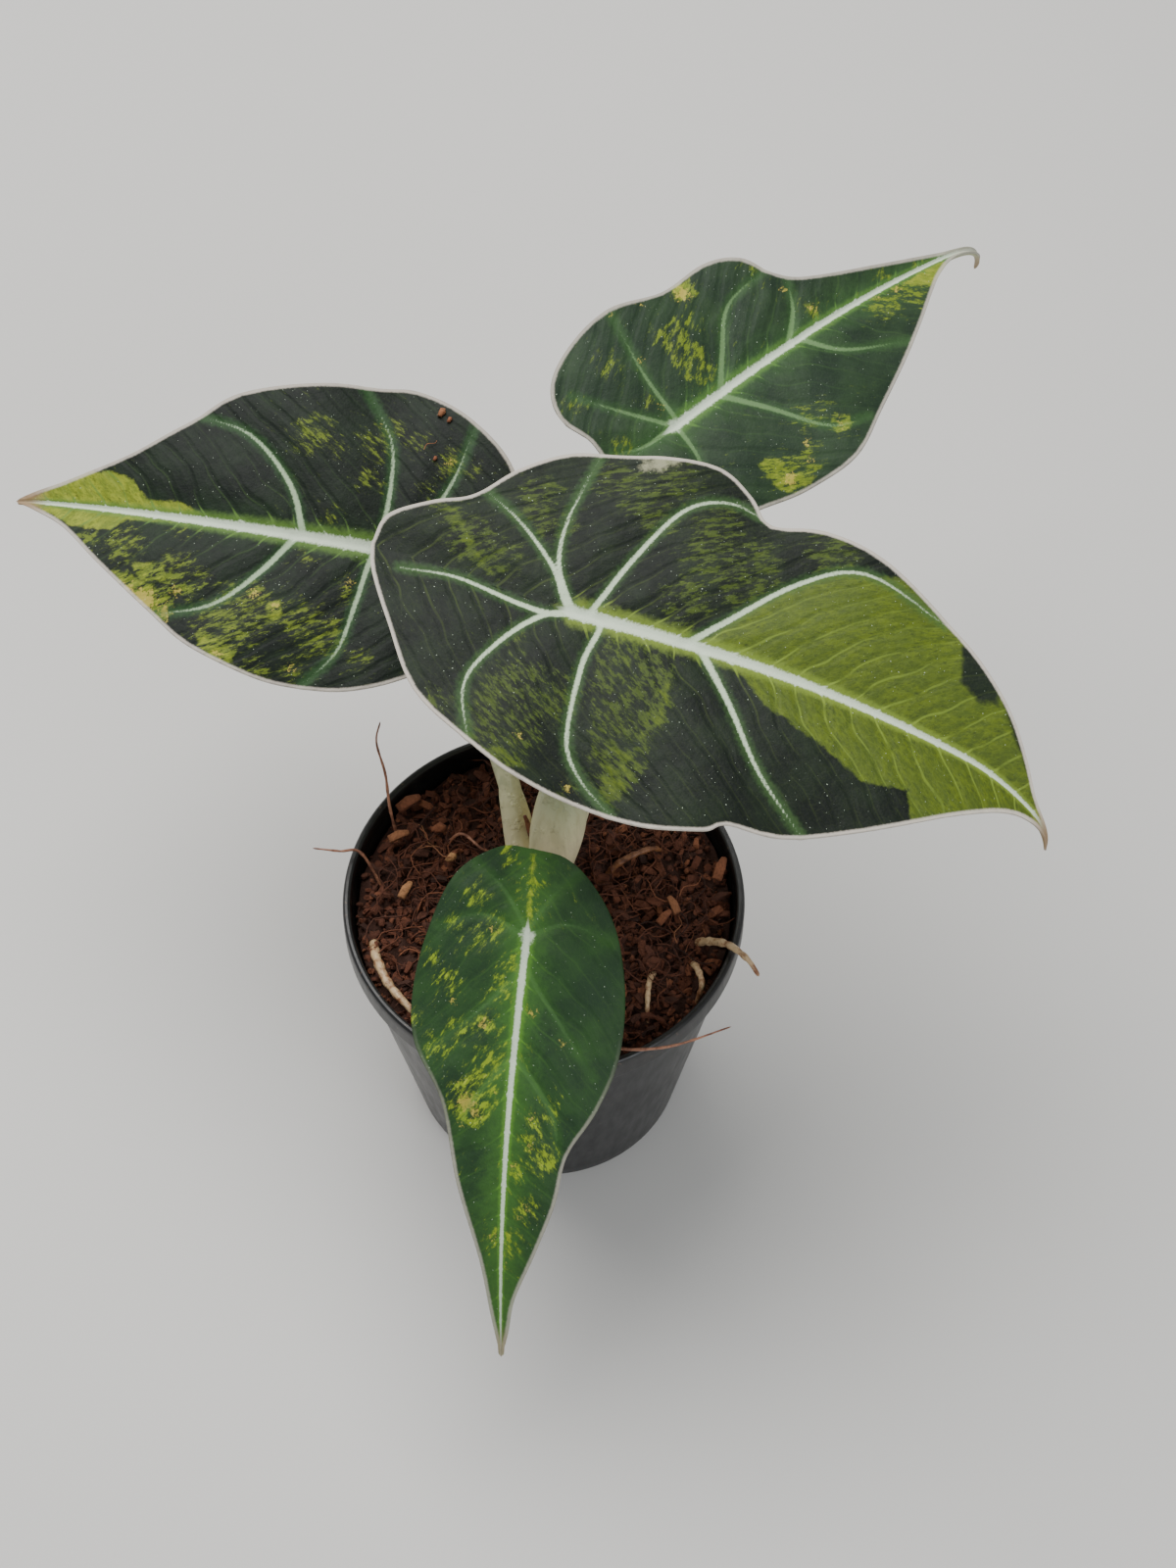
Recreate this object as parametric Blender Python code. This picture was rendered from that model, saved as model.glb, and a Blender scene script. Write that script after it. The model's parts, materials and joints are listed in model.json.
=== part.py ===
"""Alocasia black velvet growing in a round nursery pot.

Four shield-shaped leaves, each a blade on its own stalk, rise from one crown in coarse coir.
Lengths are millimetres and angles degrees, and a mesh is in metres. The origin is the middle of
the pot's flat base and +Z is up. The front leaf hangs over the rim on the -Y side.

A place on a blade is given as (along, across): along the midrib from the stalk towards the tip,
and across it, positive on the left of someone who looks from the stalk to the tip.
"""
import math
import random

import bmesh
import bpy
from mathutils import Vector

MM = 0.001
SEED = 14
GAP = 0.3

POT_HEIGHT = 77.0
POT_RIM_RADIUS = 45.0
POT_BASE_RADIUS = 32.0
POT_WALL = 1.0
POT_FLOOR = 1.6
LIP_HEIGHT = 6.5
LIP_STEP = 1.6
LIP_ROUND = 0.7
LIP_WALL = 1.8
FOOT_ROUND = 0.8
POT_SIDES = 60
DRAIN_HOLES = 6
DRAIN_RADIUS = 3.2
DRAIN_CIRCLE = 20.0
DRAIN_SIDES = 12

SOIL_EDGE = 71.0
SOIL_MOUND = 1.8
SOIL_SIDES = 44
SOIL_RINGS = (39.5, 36.0, 32.0, 27.5, 23.0, 18.5, 14.0, 9.0, 4.5)
SOIL_SHOULDER = 2.0
SOIL_PLAY = 0.1
CHIPS = 84
CHIP_LONG = (2.2, 4.2)
CHIP_WIDE = (1.6, 3.0)
CHIP_TALL = (1.6, 2.8)
CHIP_RAGGED = (0.7, 1.15)
CHIP_LEAN = 0.5
CHIP_LIFT = 0.25
CHIP_FROM_RIM = 6.0
CHIP_FROM_CROWN = 3.8

CROWN_PLACE = (0.5, 6.0)
CROWN_RADIUS = 11.0
CROWN_BOTTOM = 54.0
CROWN_TOP = 78.0
CROWN_SIDES = 24
CROWN_ROUND = 3.0
CROWN_EASE = 0.9
STALK_FOOT = 68.0

BLADE = 0.8
RIB = 1.6
RIB_SPREAD = 2.2
PILLOW = 0.9
PILLOW_SPREAD = 6.0
BLADE_ROWS = 30
BLADE_COLUMNS = (0.0, 0.09, 0.27, 0.48, 0.68, 0.86, 1.0)
ROW_CROWDING = 1.25
MIDRIB_STEPS = 24
EDGE_STEPS = 8
SWEEP_FROM = 0.76
WAVE_LAG = 2.0
RIB_FADE = 0.6
SHARP_ANGLE = 35

LEAVES = {
    "big": {
        "at": (7, 22, 155),
        "heading": -22, "pitch": 2, "roll": 12,
        "ahead": 112, "behind": 46,
        "droop": 22, "rear_droop": 8, "hook": 55, "hook_length": 9,
        "fold": 0.10, "curl": 0.25, "bow": 3, "sweep": -7,
        "wave": 1.6, "wave_length": 46, "wave_shift": 0.6, "half_width": 40,
        "left_edge": [(-46, 0), (-45, 7), (-37, 13), (-30, 17), (-23, 26), (-14, 34), (-3, 37),
                      (6, 39), (17, 40), (25, 36), (31, 31), (42, 33), (57, 31), (76, 23),
                      (90, 14), (98, 7), (104, 1.8), (112, 0)],
        "right_edge": [(-46, 0), (-43, -6), (-35, -16), (-24, -28), (-8, -35), (2, -38),
                       (14, -40), (30, -41), (42, -38), (46, -35), (57, -33), (72, -25),
                       (88, -13), (98, -5), (104, -2), (112, 0)],
        "veins": [[(24, 0), (30, 7), (41, 20), (53, 27), (72, 24)],
                  [(3, 1), (7, 14), (13, 28), (21, 33), (29, 32)],
                  [(-1, 1), (-7, 9), (-9, 20), (-8, 35)],
                  [(-3, 2), (-8, 8), (-18, 15), (-27, 19)],
                  [(-5, -2), (-13, -2), (-26, -1), (-38, -3)],
                  [(-6, -3), (-12, -12), (-15, -23), (-9, -35)],
                  [(6, -1), (6, -11), (9, -27), (14, -34), (23, -40)],
                  [(28, -1), (37, -10), (48, -22), (61, -31)]],
        "stalk": [(2, 4.5, STALK_FOOT), (2, 4.5, 81), (4, 9, 104), (7, 19, 130)],
    },
    "left": {
        "at": (-33, 58, 128),
        "heading": 171, "pitch": -4, "roll": -20,
        "ahead": 88, "behind": 27,
        "droop": 18, "rear_droop": 8, "hook": 12, "hook_length": 6,
        "fold": 0.10, "curl": 0.25, "bow": 0, "sweep": 0,
        "wave": 1.4, "wave_length": 40, "wave_shift": 2.2, "half_width": 36,
        "left_edge": [(-27, 0), (-26, 10), (-18, 21), (-7, 29), (3, 33), (13, 34), (25, 33.5),
                      (40, 29), (51, 22), (64, 13), (74, 5.5), (82, 2), (88, 0)],
        "right_edge": [(-27, 0), (-27, -12), (-22, -24), (-11, -33), (1, -37.5), (10, -36.5),
                       (22, -35), (40, -30.5), (50, -22), (61, -13), (74, -6), (82, -2.6),
                       (88, 0)],
        "veins": [[(20, 0), (25, -11), (36, -21), (49, -24)],
                  [(3, -1), (3, -13), (5, -25), (13, -36)],
                  [(-3, -2), (-10, -17), (-13, -31)],
                  [(22, 1), (28, 10), (37, 19), (50, 23)],
                  [(4, 1), (6, 15), (8, 25), (14, 33)],
                  [(-3, 2), (-10, 11), (-15, 21)],
                  [(-4, 0), (-14, -2), (-24, -4)]],
        "stalk": [(-4.5, 8.5, STALK_FOOT), (-4.5, 8.5, 80), (-8.5, 21, 96), (-18, 39, 108)],
    },
    "back": {
        "at": (29, 77, 148),
        "heading": 37, "pitch": -4, "roll": 16,
        "ahead": 106, "behind": 18,
        "droop": 25, "rear_droop": 9, "hook": 85, "hook_length": 24,
        "fold": 0.12, "curl": 0.25, "bow": 2, "sweep": 0,
        "wave": 1.6, "wave_length": 38, "wave_shift": 1.0, "half_width": 30,
        "left_edge": [(-18, 0), (-18, 7), (-20.5, 15), (-17, 23), (-8, 28), (3, 29.5), (16, 26),
                      (28, 26), (36, 22), (41, 14.5), (49, 9.5), (64, 5), (77, 2), (84, 0.9),
                      (95, 0.7), (106, 0)],
        "right_edge": [(-18, 0), (-19, -8), (-16, -17), (-7, -24), (5, -27), (16, -29.5),
                       (28, -30), (40, -24.5), (56, -16), (70, -7), (77, -3), (84, -0.9),
                       (95, -0.7), (106, 0)],
        "veins": [[(13, 0), (19, 7), (27, 15), (39, 17)],
                  [(1, 1), (1, 13), (3, 28)],
                  [(-1, 1), (-8, 9), (-15, 18)],
                  [(-3, 0), (-9, 0), (-15, 2)],
                  [(0, -2), (-1, -10), (-6, -21)],
                  [(13, -1), (20, -10), (28, -21), (37, -24)],
                  [(33, 0), (39, 6), (42, 12)],
                  [(36, 0), (43, -8), (57, -14)]],
        "stalk": [(4.5, 11.2, STALK_FOOT), (4.5, 11.2, 80), (10, 28, 104), (19, 52, 125)],
    },
    "front": {
        "at": (-3, -28, 108),
        "heading": -95, "pitch": 30, "roll": 0,
        "ahead": 96, "behind": 18.5,
        "droop": 35, "rear_droop": 12, "hook": 0, "hook_length": 6,
        "fold": 0.0, "curl": 0.6, "bow": -1.2, "sweep": 0,
        "wave": 0.9, "wave_length": 36, "wave_shift": 0.4, "half_width": 23,
        "left_edge": [(-18.5, 0), (-17, 7), (-12, 13), (-3, 18.5), (11, 22), (25, 22), (36, 18.5),
                      (46, 13), (57, 11), (69, 7), (80, 3), (89, 1.6), (96, 0)],
        "right_edge": [(-18.5, 0), (-18.5, -7), (-13, -15.5), (-2, -20.5), (12, -23), (24, -21.5),
                       (36, -14.5), (52, -10.5), (70, -4.8), (85, -2), (96, 0)],
        "veins": [[(7, 1), (18, 9), (29, 17)],
                  [(7, -1), (17, -9), (25, -18)],
                  [(26, 1), (37, 9), (46, 11)],
                  [(26, -1), (36, -8), (45, -11)],
                  [(-1, 2), (-3, 9), (0, 18)],
                  [(-1, -2), (-4, -10), (-1, -19)],
                  [(-3, 1), (-9, 5), (-14, 10)],
                  [(-3, -1), (-10, -6), (-15, -12)]],
        "stalk": [(-2.5, -0.5, STALK_FOOT), (-2.5, -0.5, 79), (-2.5, -9, 91)],
    },
}
STALK_FOOT_RADIUS = 2.9
STALK_TOP_RADIUS = 2.2
STALK_LEAD = 8.0
STALK_SLANT = 1.0
STALK_SIDES = 8
STALK_STEPS = 5

# Roots and fibres on the soil: a radius and the points that each one passes
STRANDS = [
    (1.1, [(33, -8, 70), (37, -11, 76), (41, -14, 79.6), (45, -18, 80.2), (47.5, -21, 78)]),
    (0.9, [(33, -13, 70), (34, -17, 74.6), (35, -21, 74.4), (33.5, -24, 70)]),
    (0.8, [(25, -15, 70), (23.5, -20, 74.4), (23, -25, 74), (23, -29, 70)]),
    (1.3, [(-38, -8, 70), (-37, -14, 73.5), (-34, -21, 74.4), (-29, -27, 74), (-24, -30, 70)]),
    (0.6, [(8, -33, 70), (14, -38, 77.6), (20, -40, 79.8), (29, -39, 80), (41, -35, 81)]),
    (0.8, [(13, 8, 70), (17, 10, 75), (24, 13, 76), (28, 15, 71)]),
    (0.6, [(-33, 17, 70), (-35, 22, 79), (-36, 28, 84), (-38, 34, 88), (-37, 37, 92)]),
    (0.6, [(-36, 5, 70), (-41, 10, 79), (-46, 10, 80), (-52, 11, 79.6)]),
    (0.6, [(-24, 16, 70), (-19, 17, 76), (-14, 13, 76), (-10.5, 15, 71)]),
]
STRAND_SIDES = 5
STRAND_STEPS = 3
STRAND_TAPER = 0.35

FINISHES = {
    "plastic": ((0.012, 0.012, 0.014, 1), 0.45),
    "soil": ((0.060, 0.026, 0.014, 1), 0.95),
    "stalk": ((0.42, 0.42, 0.22, 1), 0.5),
    "blade": ((0.018, 0.045, 0.022, 1), 0.6),
}


def clear_scene():
    for old in list(bpy.data.objects):
        bpy.data.objects.remove(old, do_unlink=True)


def finish(name):
    """The material of that name, made once."""
    found = bpy.data.materials.get(name)
    if found:
        return found
    colour, roughness = FINISHES[name]
    made = bpy.data.materials.new(name)
    made.use_nodes = True
    shader = made.node_tree.nodes["Principled BSDF"]
    shader.inputs["Base Color"].default_value = colour
    shader.inputs["Roughness"].default_value = roughness
    shader.inputs["Metallic"].default_value = 0.0
    return made


def as_object(name, work, finish_name, smooth=True):
    """The bmesh as an object in the scene, its millimetres made metres."""
    bmesh.ops.scale(work, vec=(MM, MM, MM), verts=work.verts)
    mesh = bpy.data.meshes.new(name)
    work.to_mesh(mesh)
    work.free()
    if smooth:
        mesh.shade_smooth()
        mesh.set_sharp_from_angle(angle=math.radians(SHARP_ANGLE))
    made = bpy.data.objects.new(name, mesh)
    made.data.materials.append(finish(finish_name))
    bpy.context.scene.collection.objects.link(made)
    return made


def fuse(target, operation, others, solver="EXACT"):
    """Joins the other objects to the target, or cuts them from it, and removes them."""
    group = bpy.data.collections.new(target.name + "_tools")
    bpy.context.scene.collection.children.link(group)
    for other in others:
        bpy.context.scene.collection.objects.unlink(other)
        group.objects.link(other)
    joint = target.modifiers.new(operation.lower(), "BOOLEAN")
    joint.operation = operation
    joint.solver = solver
    joint.operand_type = "COLLECTION"
    joint.collection = group
    bpy.context.view_layer.update()
    result = bpy.data.meshes.new_from_object(
        target.evaluated_get(bpy.context.evaluated_depsgraph_get())
    )
    target.modifiers.clear()
    target.data = result
    for other in others:
        bpy.data.objects.remove(other, do_unlink=True)
    bpy.data.collections.remove(group)


def smooth_path(points, steps):
    """Points on a smooth curve through the given ones, with so many steps between two of them."""
    known = [Vector(point) for point in points]
    known = [2 * known[0] - known[1]] + known + [2 * known[-1] - known[-2]]
    path = []
    for first, start, end, last in zip(known, known[1:], known[2:], known[3:]):
        for step in range(steps):
            t = step / steps
            path.append(
                0.5 * (2 * start + (end - first) * t
                       + (2 * first - 5 * start + 4 * end - last) * t * t
                       + (3 * start - first - 3 * end + last) * t * t * t)
            )
    return path + [known[-2]]


def tube(path, radii, sides):
    """A closed tube along the path, with a radius for each of its points."""
    work = bmesh.new()
    side = Vector((1, 0, 0))
    rings = []
    for index, point in enumerate(path):
        before, after = path[max(index - 1, 0)], path[min(index + 1, len(path) - 1)]
        forward = (after - before).normalized()
        side = (side - forward * side.dot(forward)).normalized()
        up = forward.cross(side)
        turn = [2 * math.pi * corner / sides for corner in range(sides)]
        rings.append([
            work.verts.new(point + radii[index] * (side * math.cos(t) + up * math.sin(t)))
            for t in turn
        ])
    for lower, upper in zip(rings, rings[1:]):
        for corner in range(sides):
            after = (corner + 1) % sides
            work.faces.new((lower[corner], lower[after], upper[after], upper[corner]))
    work.faces.new(reversed(rings[0]))
    work.faces.new(rings[-1])
    return work


def turned(profile, sides, place=(0.0, 0.0)):
    """A solid of revolution from (radius, height) points that start and end on the axis."""
    work = bmesh.new()
    rings = []
    for radius, height in profile:
        if radius == 0:
            rings.append([work.verts.new((place[0], place[1], height))])
            continue
        rings.append([
            work.verts.new((place[0] + radius * math.cos(2 * math.pi * corner / sides),
                            place[1] + radius * math.sin(2 * math.pi * corner / sides), height))
            for corner in range(sides)
        ])
    for lower, upper in zip(rings, rings[1:]):
        for corner in range(sides):
            after = (corner + 1) % sides
            if len(lower) == 1:
                work.faces.new((lower[0], upper[after], upper[corner]))
            elif len(upper) == 1:
                work.faces.new((lower[corner], lower[after], upper[0]))
            else:
                work.faces.new((lower[corner], lower[after], upper[after], upper[corner]))
    bmesh.ops.recalc_face_normals(work, faces=work.faces)
    return work


def wall_radius(height):
    """The outer radius of the pot's tapered wall at a height."""
    top = POT_RIM_RADIUS - LIP_STEP
    return POT_BASE_RADIUS + (top - POT_BASE_RADIUS) * height / (POT_HEIGHT - LIP_HEIGHT)


def make_pot():
    """The thin pot, with its stepped lip, a rounded foot and drain holes round the floor."""
    lip_bottom = POT_HEIGHT - LIP_HEIGHT
    profile = [
        (0, 0), (POT_BASE_RADIUS - FOOT_ROUND, 0), (wall_radius(FOOT_ROUND), FOOT_ROUND),
        (wall_radius(lip_bottom), lip_bottom),
        (POT_RIM_RADIUS, lip_bottom + LIP_ROUND), (POT_RIM_RADIUS, POT_HEIGHT - LIP_ROUND),
        (POT_RIM_RADIUS - LIP_ROUND, POT_HEIGHT),
        (POT_RIM_RADIUS - LIP_WALL + LIP_ROUND / 2, POT_HEIGHT),
        (POT_RIM_RADIUS - LIP_WALL, POT_HEIGHT - LIP_ROUND),
        (wall_radius(lip_bottom) - POT_WALL, lip_bottom - POT_WALL),
        (wall_radius(POT_FLOOR) - POT_WALL, POT_FLOOR), (0, POT_FLOOR),
    ]
    pot = as_object("pot", turned(profile, POT_SIDES), "plastic")
    drills = []
    for hole in range(DRAIN_HOLES):
        angle = 2 * math.pi * hole / DRAIN_HOLES
        place = (DRAIN_CIRCLE * math.cos(angle), DRAIN_CIRCLE * math.sin(angle))
        low, high = -POT_FLOOR, 2 * POT_FLOOR
        profile = [(0, low), (DRAIN_RADIUS, low), (DRAIN_RADIUS, high), (0, high)]
        drill = turned(profile, DRAIN_SIDES, place)
        drills.append(as_object("drill", drill, "plastic", smooth=False))
    fuse(pot, "DIFFERENCE", drills)


def soil_height(x, y):
    """The top of the soil: a low mound with small hollows."""
    outwards = math.hypot(x, y) / POT_RIM_RADIUS
    hollows = (0.7 * math.sin(0.31 * x + 1.0) * math.sin(0.27 * y)
               + 0.5 * math.sin(0.83 * x + 0.4 * y) + 0.4 * math.sin(0.9 * y - 0.5 * x))
    return SOIL_EDGE + SOIL_MOUND * (1 - outwards ** 2) + hollows


def soil_body():
    """The soil as it fills the pot, without its chips and with no hole yet."""
    bottom = POT_FLOOR + GAP
    clear = POT_WALL + GAP + SOIL_PLAY
    shoulder = SOIL_EDGE - SOIL_SHOULDER
    work = bmesh.new()
    turns = [2 * math.pi * corner / SOIL_SIDES for corner in range(SOIL_SIDES)]
    rings = [[work.verts.new((0, 0, bottom))]]
    for radius, height in ((wall_radius(bottom) - clear, bottom),
                           (wall_radius(shoulder) - clear, shoulder)):
        rings.append([
            work.verts.new((radius * math.cos(t), radius * math.sin(t), height)) for t in turns
        ])
    for radius in SOIL_RINGS:
        rings.append([
            work.verts.new((radius * math.cos(t), radius * math.sin(t),
                            soil_height(radius * math.cos(t), radius * math.sin(t))))
            for t in turns
        ])
    rings.append([work.verts.new((0, 0, soil_height(0, 0)))])
    for lower, upper in zip(rings, rings[1:]):
        for corner in range(SOIL_SIDES):
            after = (corner + 1) % SOIL_SIDES
            if len(lower) == 1:
                work.faces.new((lower[0], upper[after], upper[corner]))
            elif len(upper) == 1:
                work.faces.new((lower[corner], lower[after], upper[0]))
            else:
                work.faces.new((lower[corner], lower[after], upper[after]))
                work.faces.new((lower[corner], upper[after], upper[corner]))
    bmesh.ops.recalc_face_normals(work, faces=work.faces)
    return work


def chip(draw):
    """One flake of coir or bark, sunk by about half into the soil, clear of crown and wall."""
    reach = POT_RIM_RADIUS - CHIP_FROM_RIM
    while True:
        x, y = draw.uniform(-reach, reach), draw.uniform(-reach, reach)
        from_crown = math.hypot(x - CROWN_PLACE[0], y - CROWN_PLACE[1])
        if math.hypot(x, y) < reach and from_crown > CROWN_RADIUS + CHIP_FROM_CROWN:
            break
    size = [draw.uniform(*span) for span in (CHIP_LONG, CHIP_WIDE, CHIP_TALL)]
    spin, lean = draw.uniform(0, math.pi), draw.uniform(-CHIP_LEAN, CHIP_LEAN)
    work = bmesh.new()
    bmesh.ops.create_cube(work, size=1)
    for corner in work.verts:
        spot = Vector([corner.co[axis] * size[axis] * draw.uniform(*CHIP_RAGGED)
                       for axis in range(3)])
        spot.z += lean * spot.x
        corner.co = Vector((x + spot.x * math.cos(spin) - spot.y * math.sin(spin),
                            y + spot.x * math.sin(spin) + spot.y * math.cos(spin),
                            soil_height(x, y) + CHIP_LIFT + spot.z))
    return work


def make_soil():
    """The soil with its chips and strands fused on, and a plain hole for the crown."""
    draw = random.Random(SEED)
    soil = as_object("soil", soil_body(), "soil", smooth=False)
    grown = [as_object("chip", chip(draw), "soil", smooth=False) for _ in range(CHIPS)]
    for radius, route in STRANDS:
        path = smooth_path(route, STRAND_STEPS)
        shrink = STRAND_TAPER / (len(path) - 1)
        radii = [radius * (1 - shrink * index) for index in range(len(path))]
        grown.append(as_object("strand", tube(path, radii, STRAND_SIDES), "soil", smooth=False))
    fuse(soil, "UNION", grown, "MANIFOLD")
    hole_radius = CROWN_RADIUS + GAP
    low, high = CROWN_BOTTOM - GAP, CROWN_TOP + CROWN_RADIUS
    profile = [(0, low), (hole_radius, low), (hole_radius, high), (0, high)]
    hole = turned(profile, CROWN_SIDES, CROWN_PLACE)
    fuse(soil, "DIFFERENCE", [as_object("hole", hole, "soil", smooth=False)], "MANIFOLD")


def leaf_axes(leaf):
    """Unit vectors at the stalk: along the midrib to the tip, across to its left, and up."""
    heading, pitch, roll = (math.radians(leaf[key]) for key in ("heading", "pitch", "roll"))
    along = Vector((math.cos(heading) * math.cos(pitch), math.sin(heading) * math.cos(pitch),
                    -math.sin(pitch)))
    level = Vector((-math.sin(heading), math.cos(heading), 0))
    up = along.cross(level)
    return (along, level * math.cos(roll) + up * math.sin(roll),
            up * math.cos(roll) - level * math.sin(roll))


def bend(leaf, along):
    """How far the midrib has turned down at that place, in radians."""
    share = abs(along) / leaf["ahead"]
    if along < 0:
        return -math.radians(leaf["rear_droop"] * share)
    past = (along - leaf["ahead"] + leaf["hook_length"]) / leaf["hook_length"]
    return math.radians(leaf["droop"] * share ** 1.5 + leaf["hook"] * max(past, 0))


def to_segment(spot, start, end):
    """The distance of a flat (along, across) place from a straight stretch of vein."""
    run_x, run_y = end[0] - start[0], end[1] - start[1]
    share = ((spot[0] - start[0]) * run_x + (spot[1] - start[1]) * run_y) / (run_x ** 2 + run_y ** 2)
    share = min(max(share, 0), 1)
    return math.hypot(spot[0] - start[0] - share * run_x, spot[1] - start[1] - share * run_y)


def relief(leaf, along, across):
    """The blade swells a little between its veins."""
    nearest = abs(across)
    for vein in leaf["veins"]:
        for start, end in zip(vein, vein[1:]):
            nearest = min(nearest, to_segment((along, across), start, end))
    fade = max(0, 1 - (across / leaf["half_width"]) ** 4)
    return PILLOW * fade * (1 - math.exp(-(nearest / PILLOW_SPREAD) ** 2))


def blade_point(leaf, along, across, below=0.0):
    """A point of the blade, so far under its upper face."""
    ahead, side, up = leaf_axes(leaf)
    run = rise = 0.0
    for step in range(MIDRIB_STEPS):
        turn = bend(leaf, along * (step + 0.5) / MIDRIB_STEPS)
        run += math.cos(turn) * along / MIDRIB_STEPS
        rise -= math.sin(turn) * along / MIDRIB_STEPS
    turn = bend(leaf, along)
    normal = up * math.cos(turn) + ahead * math.sin(turn)
    share = min(max(along / leaf["ahead"], 0), 1)
    near_tip = max(0, (along / leaf["ahead"] - SWEEP_FROM) / (1 - SWEEP_FROM))
    shift = leaf["bow"] * math.sin(math.pi * share) + leaf["sweep"] * near_tip ** 2
    phase = leaf["wave_shift"] + (0 if across > 0 else WAVE_LAG)
    ripple = math.sin(2 * math.pi * along / leaf["wave_length"] + phase)
    height = (leaf["fold"] * abs(across) - leaf["curl"] * across ** 2 / 100
              + leaf["wave"] * (across / leaf["half_width"]) ** 2 * ripple
              + relief(leaf, along, across))
    spot = Vector(leaf["at"]) + ahead * run + up * rise
    return spot + side * (across + shift) + normal * (height - below)


def thickness(leaf, along, across):
    """The blade's own thickness, and the midrib that stands out under it."""
    end = leaf["ahead"] if along > 0 else -leaf["behind"]
    rib = RIB * max(0, 1 - along / end) ** RIB_FADE
    return BLADE + rib * math.exp(-(across / RIB_SPREAD) ** 2)


def edge_points(outline, count):
    """Evenly spaced points along a smooth curve through the outline."""
    path = smooth_path([(along, across, 0) for along, across in outline], EDGE_STEPS)
    reached = [0.0]
    for start, end in zip(path, path[1:]):
        reached.append(reached[-1] + (end - start).length)
    points = []
    for index in range(count + 1):
        wanted = reached[-1] * index / count
        after = next((i for i, length in enumerate(reached) if length >= wanted), len(path) - 1)
        before = max(after - 1, 0)
        span = reached[after] - reached[before]
        share = (wanted - reached[before]) / span if span else 0
        points.append(path[before].lerp(path[after], share))
    return points


def blade_grid(leaf):
    """Flat (along, across) places in rows from the rear of the blade to its tip."""
    left = edge_points(leaf["left_edge"], BLADE_ROWS)
    right = edge_points(leaf["right_edge"], BLADE_ROWS)
    whole = leaf["ahead"] + leaf["behind"]
    rows = []
    for row in range(1, BLADE_ROWS):
        middle = Vector((-leaf["behind"] + whole * (row / BLADE_ROWS) ** ROW_CROWDING, 0, 0))
        leftwards = [middle.lerp(left[row], share) for share in BLADE_COLUMNS]
        rightwards = [middle.lerp(right[row], share) for share in BLADE_COLUMNS]
        rows.append(leftwards[::-1] + rightwards[1:])
    return rows


def make_blade(name, leaf):
    """The blade as one closed shell: an upper face, the same face lower down, and the edge."""
    rows = blade_grid(leaf)
    ends = (Vector((-leaf["behind"], 0, 0)), Vector((leaf["ahead"], 0, 0)))
    work = bmesh.new()

    def face_points(depth):
        grid = [[work.verts.new(blade_point(leaf, spot.x, spot.y, depth(spot))) for spot in row]
                for row in rows]
        poles = [work.verts.new(blade_point(leaf, end.x, 0, depth(end))) for end in ends]
        return grid, poles

    top, top_ends = face_points(lambda spot: 0.0)
    low, low_ends = face_points(lambda spot: thickness(leaf, spot.x, spot.y))
    last = len(rows[0]) - 1
    for upper, lower in zip(range(len(rows) - 1), range(1, len(rows))):
        for column in range(last):
            corners = (top[upper][column], top[lower][column], top[lower][column + 1],
                       top[upper][column + 1])
            under = (low[upper][column], low[lower][column], low[lower][column + 1],
                     low[upper][column + 1])
            pick = ((0, 1, 2), (0, 2, 3)) if column < last / 2 else ((0, 1, 3), (1, 2, 3))
            for a, b, c in pick:
                work.faces.new((corners[a], corners[c], corners[b]))
                work.faces.new((under[a], under[b], under[c]))
    for row, pole, above in ((0, 0, True), (len(rows) - 1, 1, False)):
        for column in range(last):
            for grid, pole_point, flip in ((top, top_ends[pole], above),
                                           (low, low_ends[pole], not above)):
                pair = (grid[row][column], grid[row][column + 1])
                pair = pair if flip else pair[::-1]
                work.faces.new((pole_point, *pair))
    rim_top = ([top_ends[0]] + [row[0] for row in top] + [top_ends[1]]
               + [row[-1] for row in reversed(top)])
    rim_low = ([low_ends[0]] + [row[0] for row in low] + [low_ends[1]]
               + [row[-1] for row in reversed(low)])
    for index in range(len(rim_top)):
        after = (index + 1) % len(rim_top)
        work.faces.new((rim_top[index], rim_top[after], rim_low[after], rim_low[index]))
    bmesh.ops.recalc_face_normals(work, faces=work.faces)
    as_object("blade_" + name, work, "blade")


def stalk_path(leaf):
    """The middle line of the leaf's stalk, from the crown to just under its blade."""
    up = leaf_axes(leaf)[2]
    under = Vector(leaf["at"]) - up * (BLADE + RIB + GAP)
    incoming = (under - Vector(leaf["stalk"][-1])).normalized()
    lead = (up + incoming * STALK_SLANT).normalized()
    tilt = math.sqrt(1 - min(lead.dot(up), 1) ** 2)
    top = under - up * STALK_TOP_RADIUS * tilt
    return smooth_path(leaf["stalk"] + [top - lead * STALK_LEAD, top], STALK_STEPS)


def stalk_radii(count):
    """The stalk's radius at each of that many points, from its foot to its top."""
    shrink = (STALK_FOOT_RADIUS - STALK_TOP_RADIUS) / (count - 1)
    return [STALK_FOOT_RADIUS - shrink * index for index in range(count)]


def make_stalk(name, leaf):
    path = stalk_path(leaf)
    as_object("stalk_" + name, tube(path, stalk_radii(len(path)), STALK_SIDES), "stalk")


def socket(leaf):
    """A cutter that is the stalk's foot grown by the gap."""
    path = stalk_path(leaf)
    radii = [radius + GAP for radius in stalk_radii(len(path))]
    low = [point for point in path if point.z < CROWN_TOP + STALK_LEAD]
    below = low[0] + (low[0] - low[1]).normalized() * GAP
    return as_object("socket", tube([below] + low, radii[:1] + radii[:len(low)], STALK_SIDES), "stalk")


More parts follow.
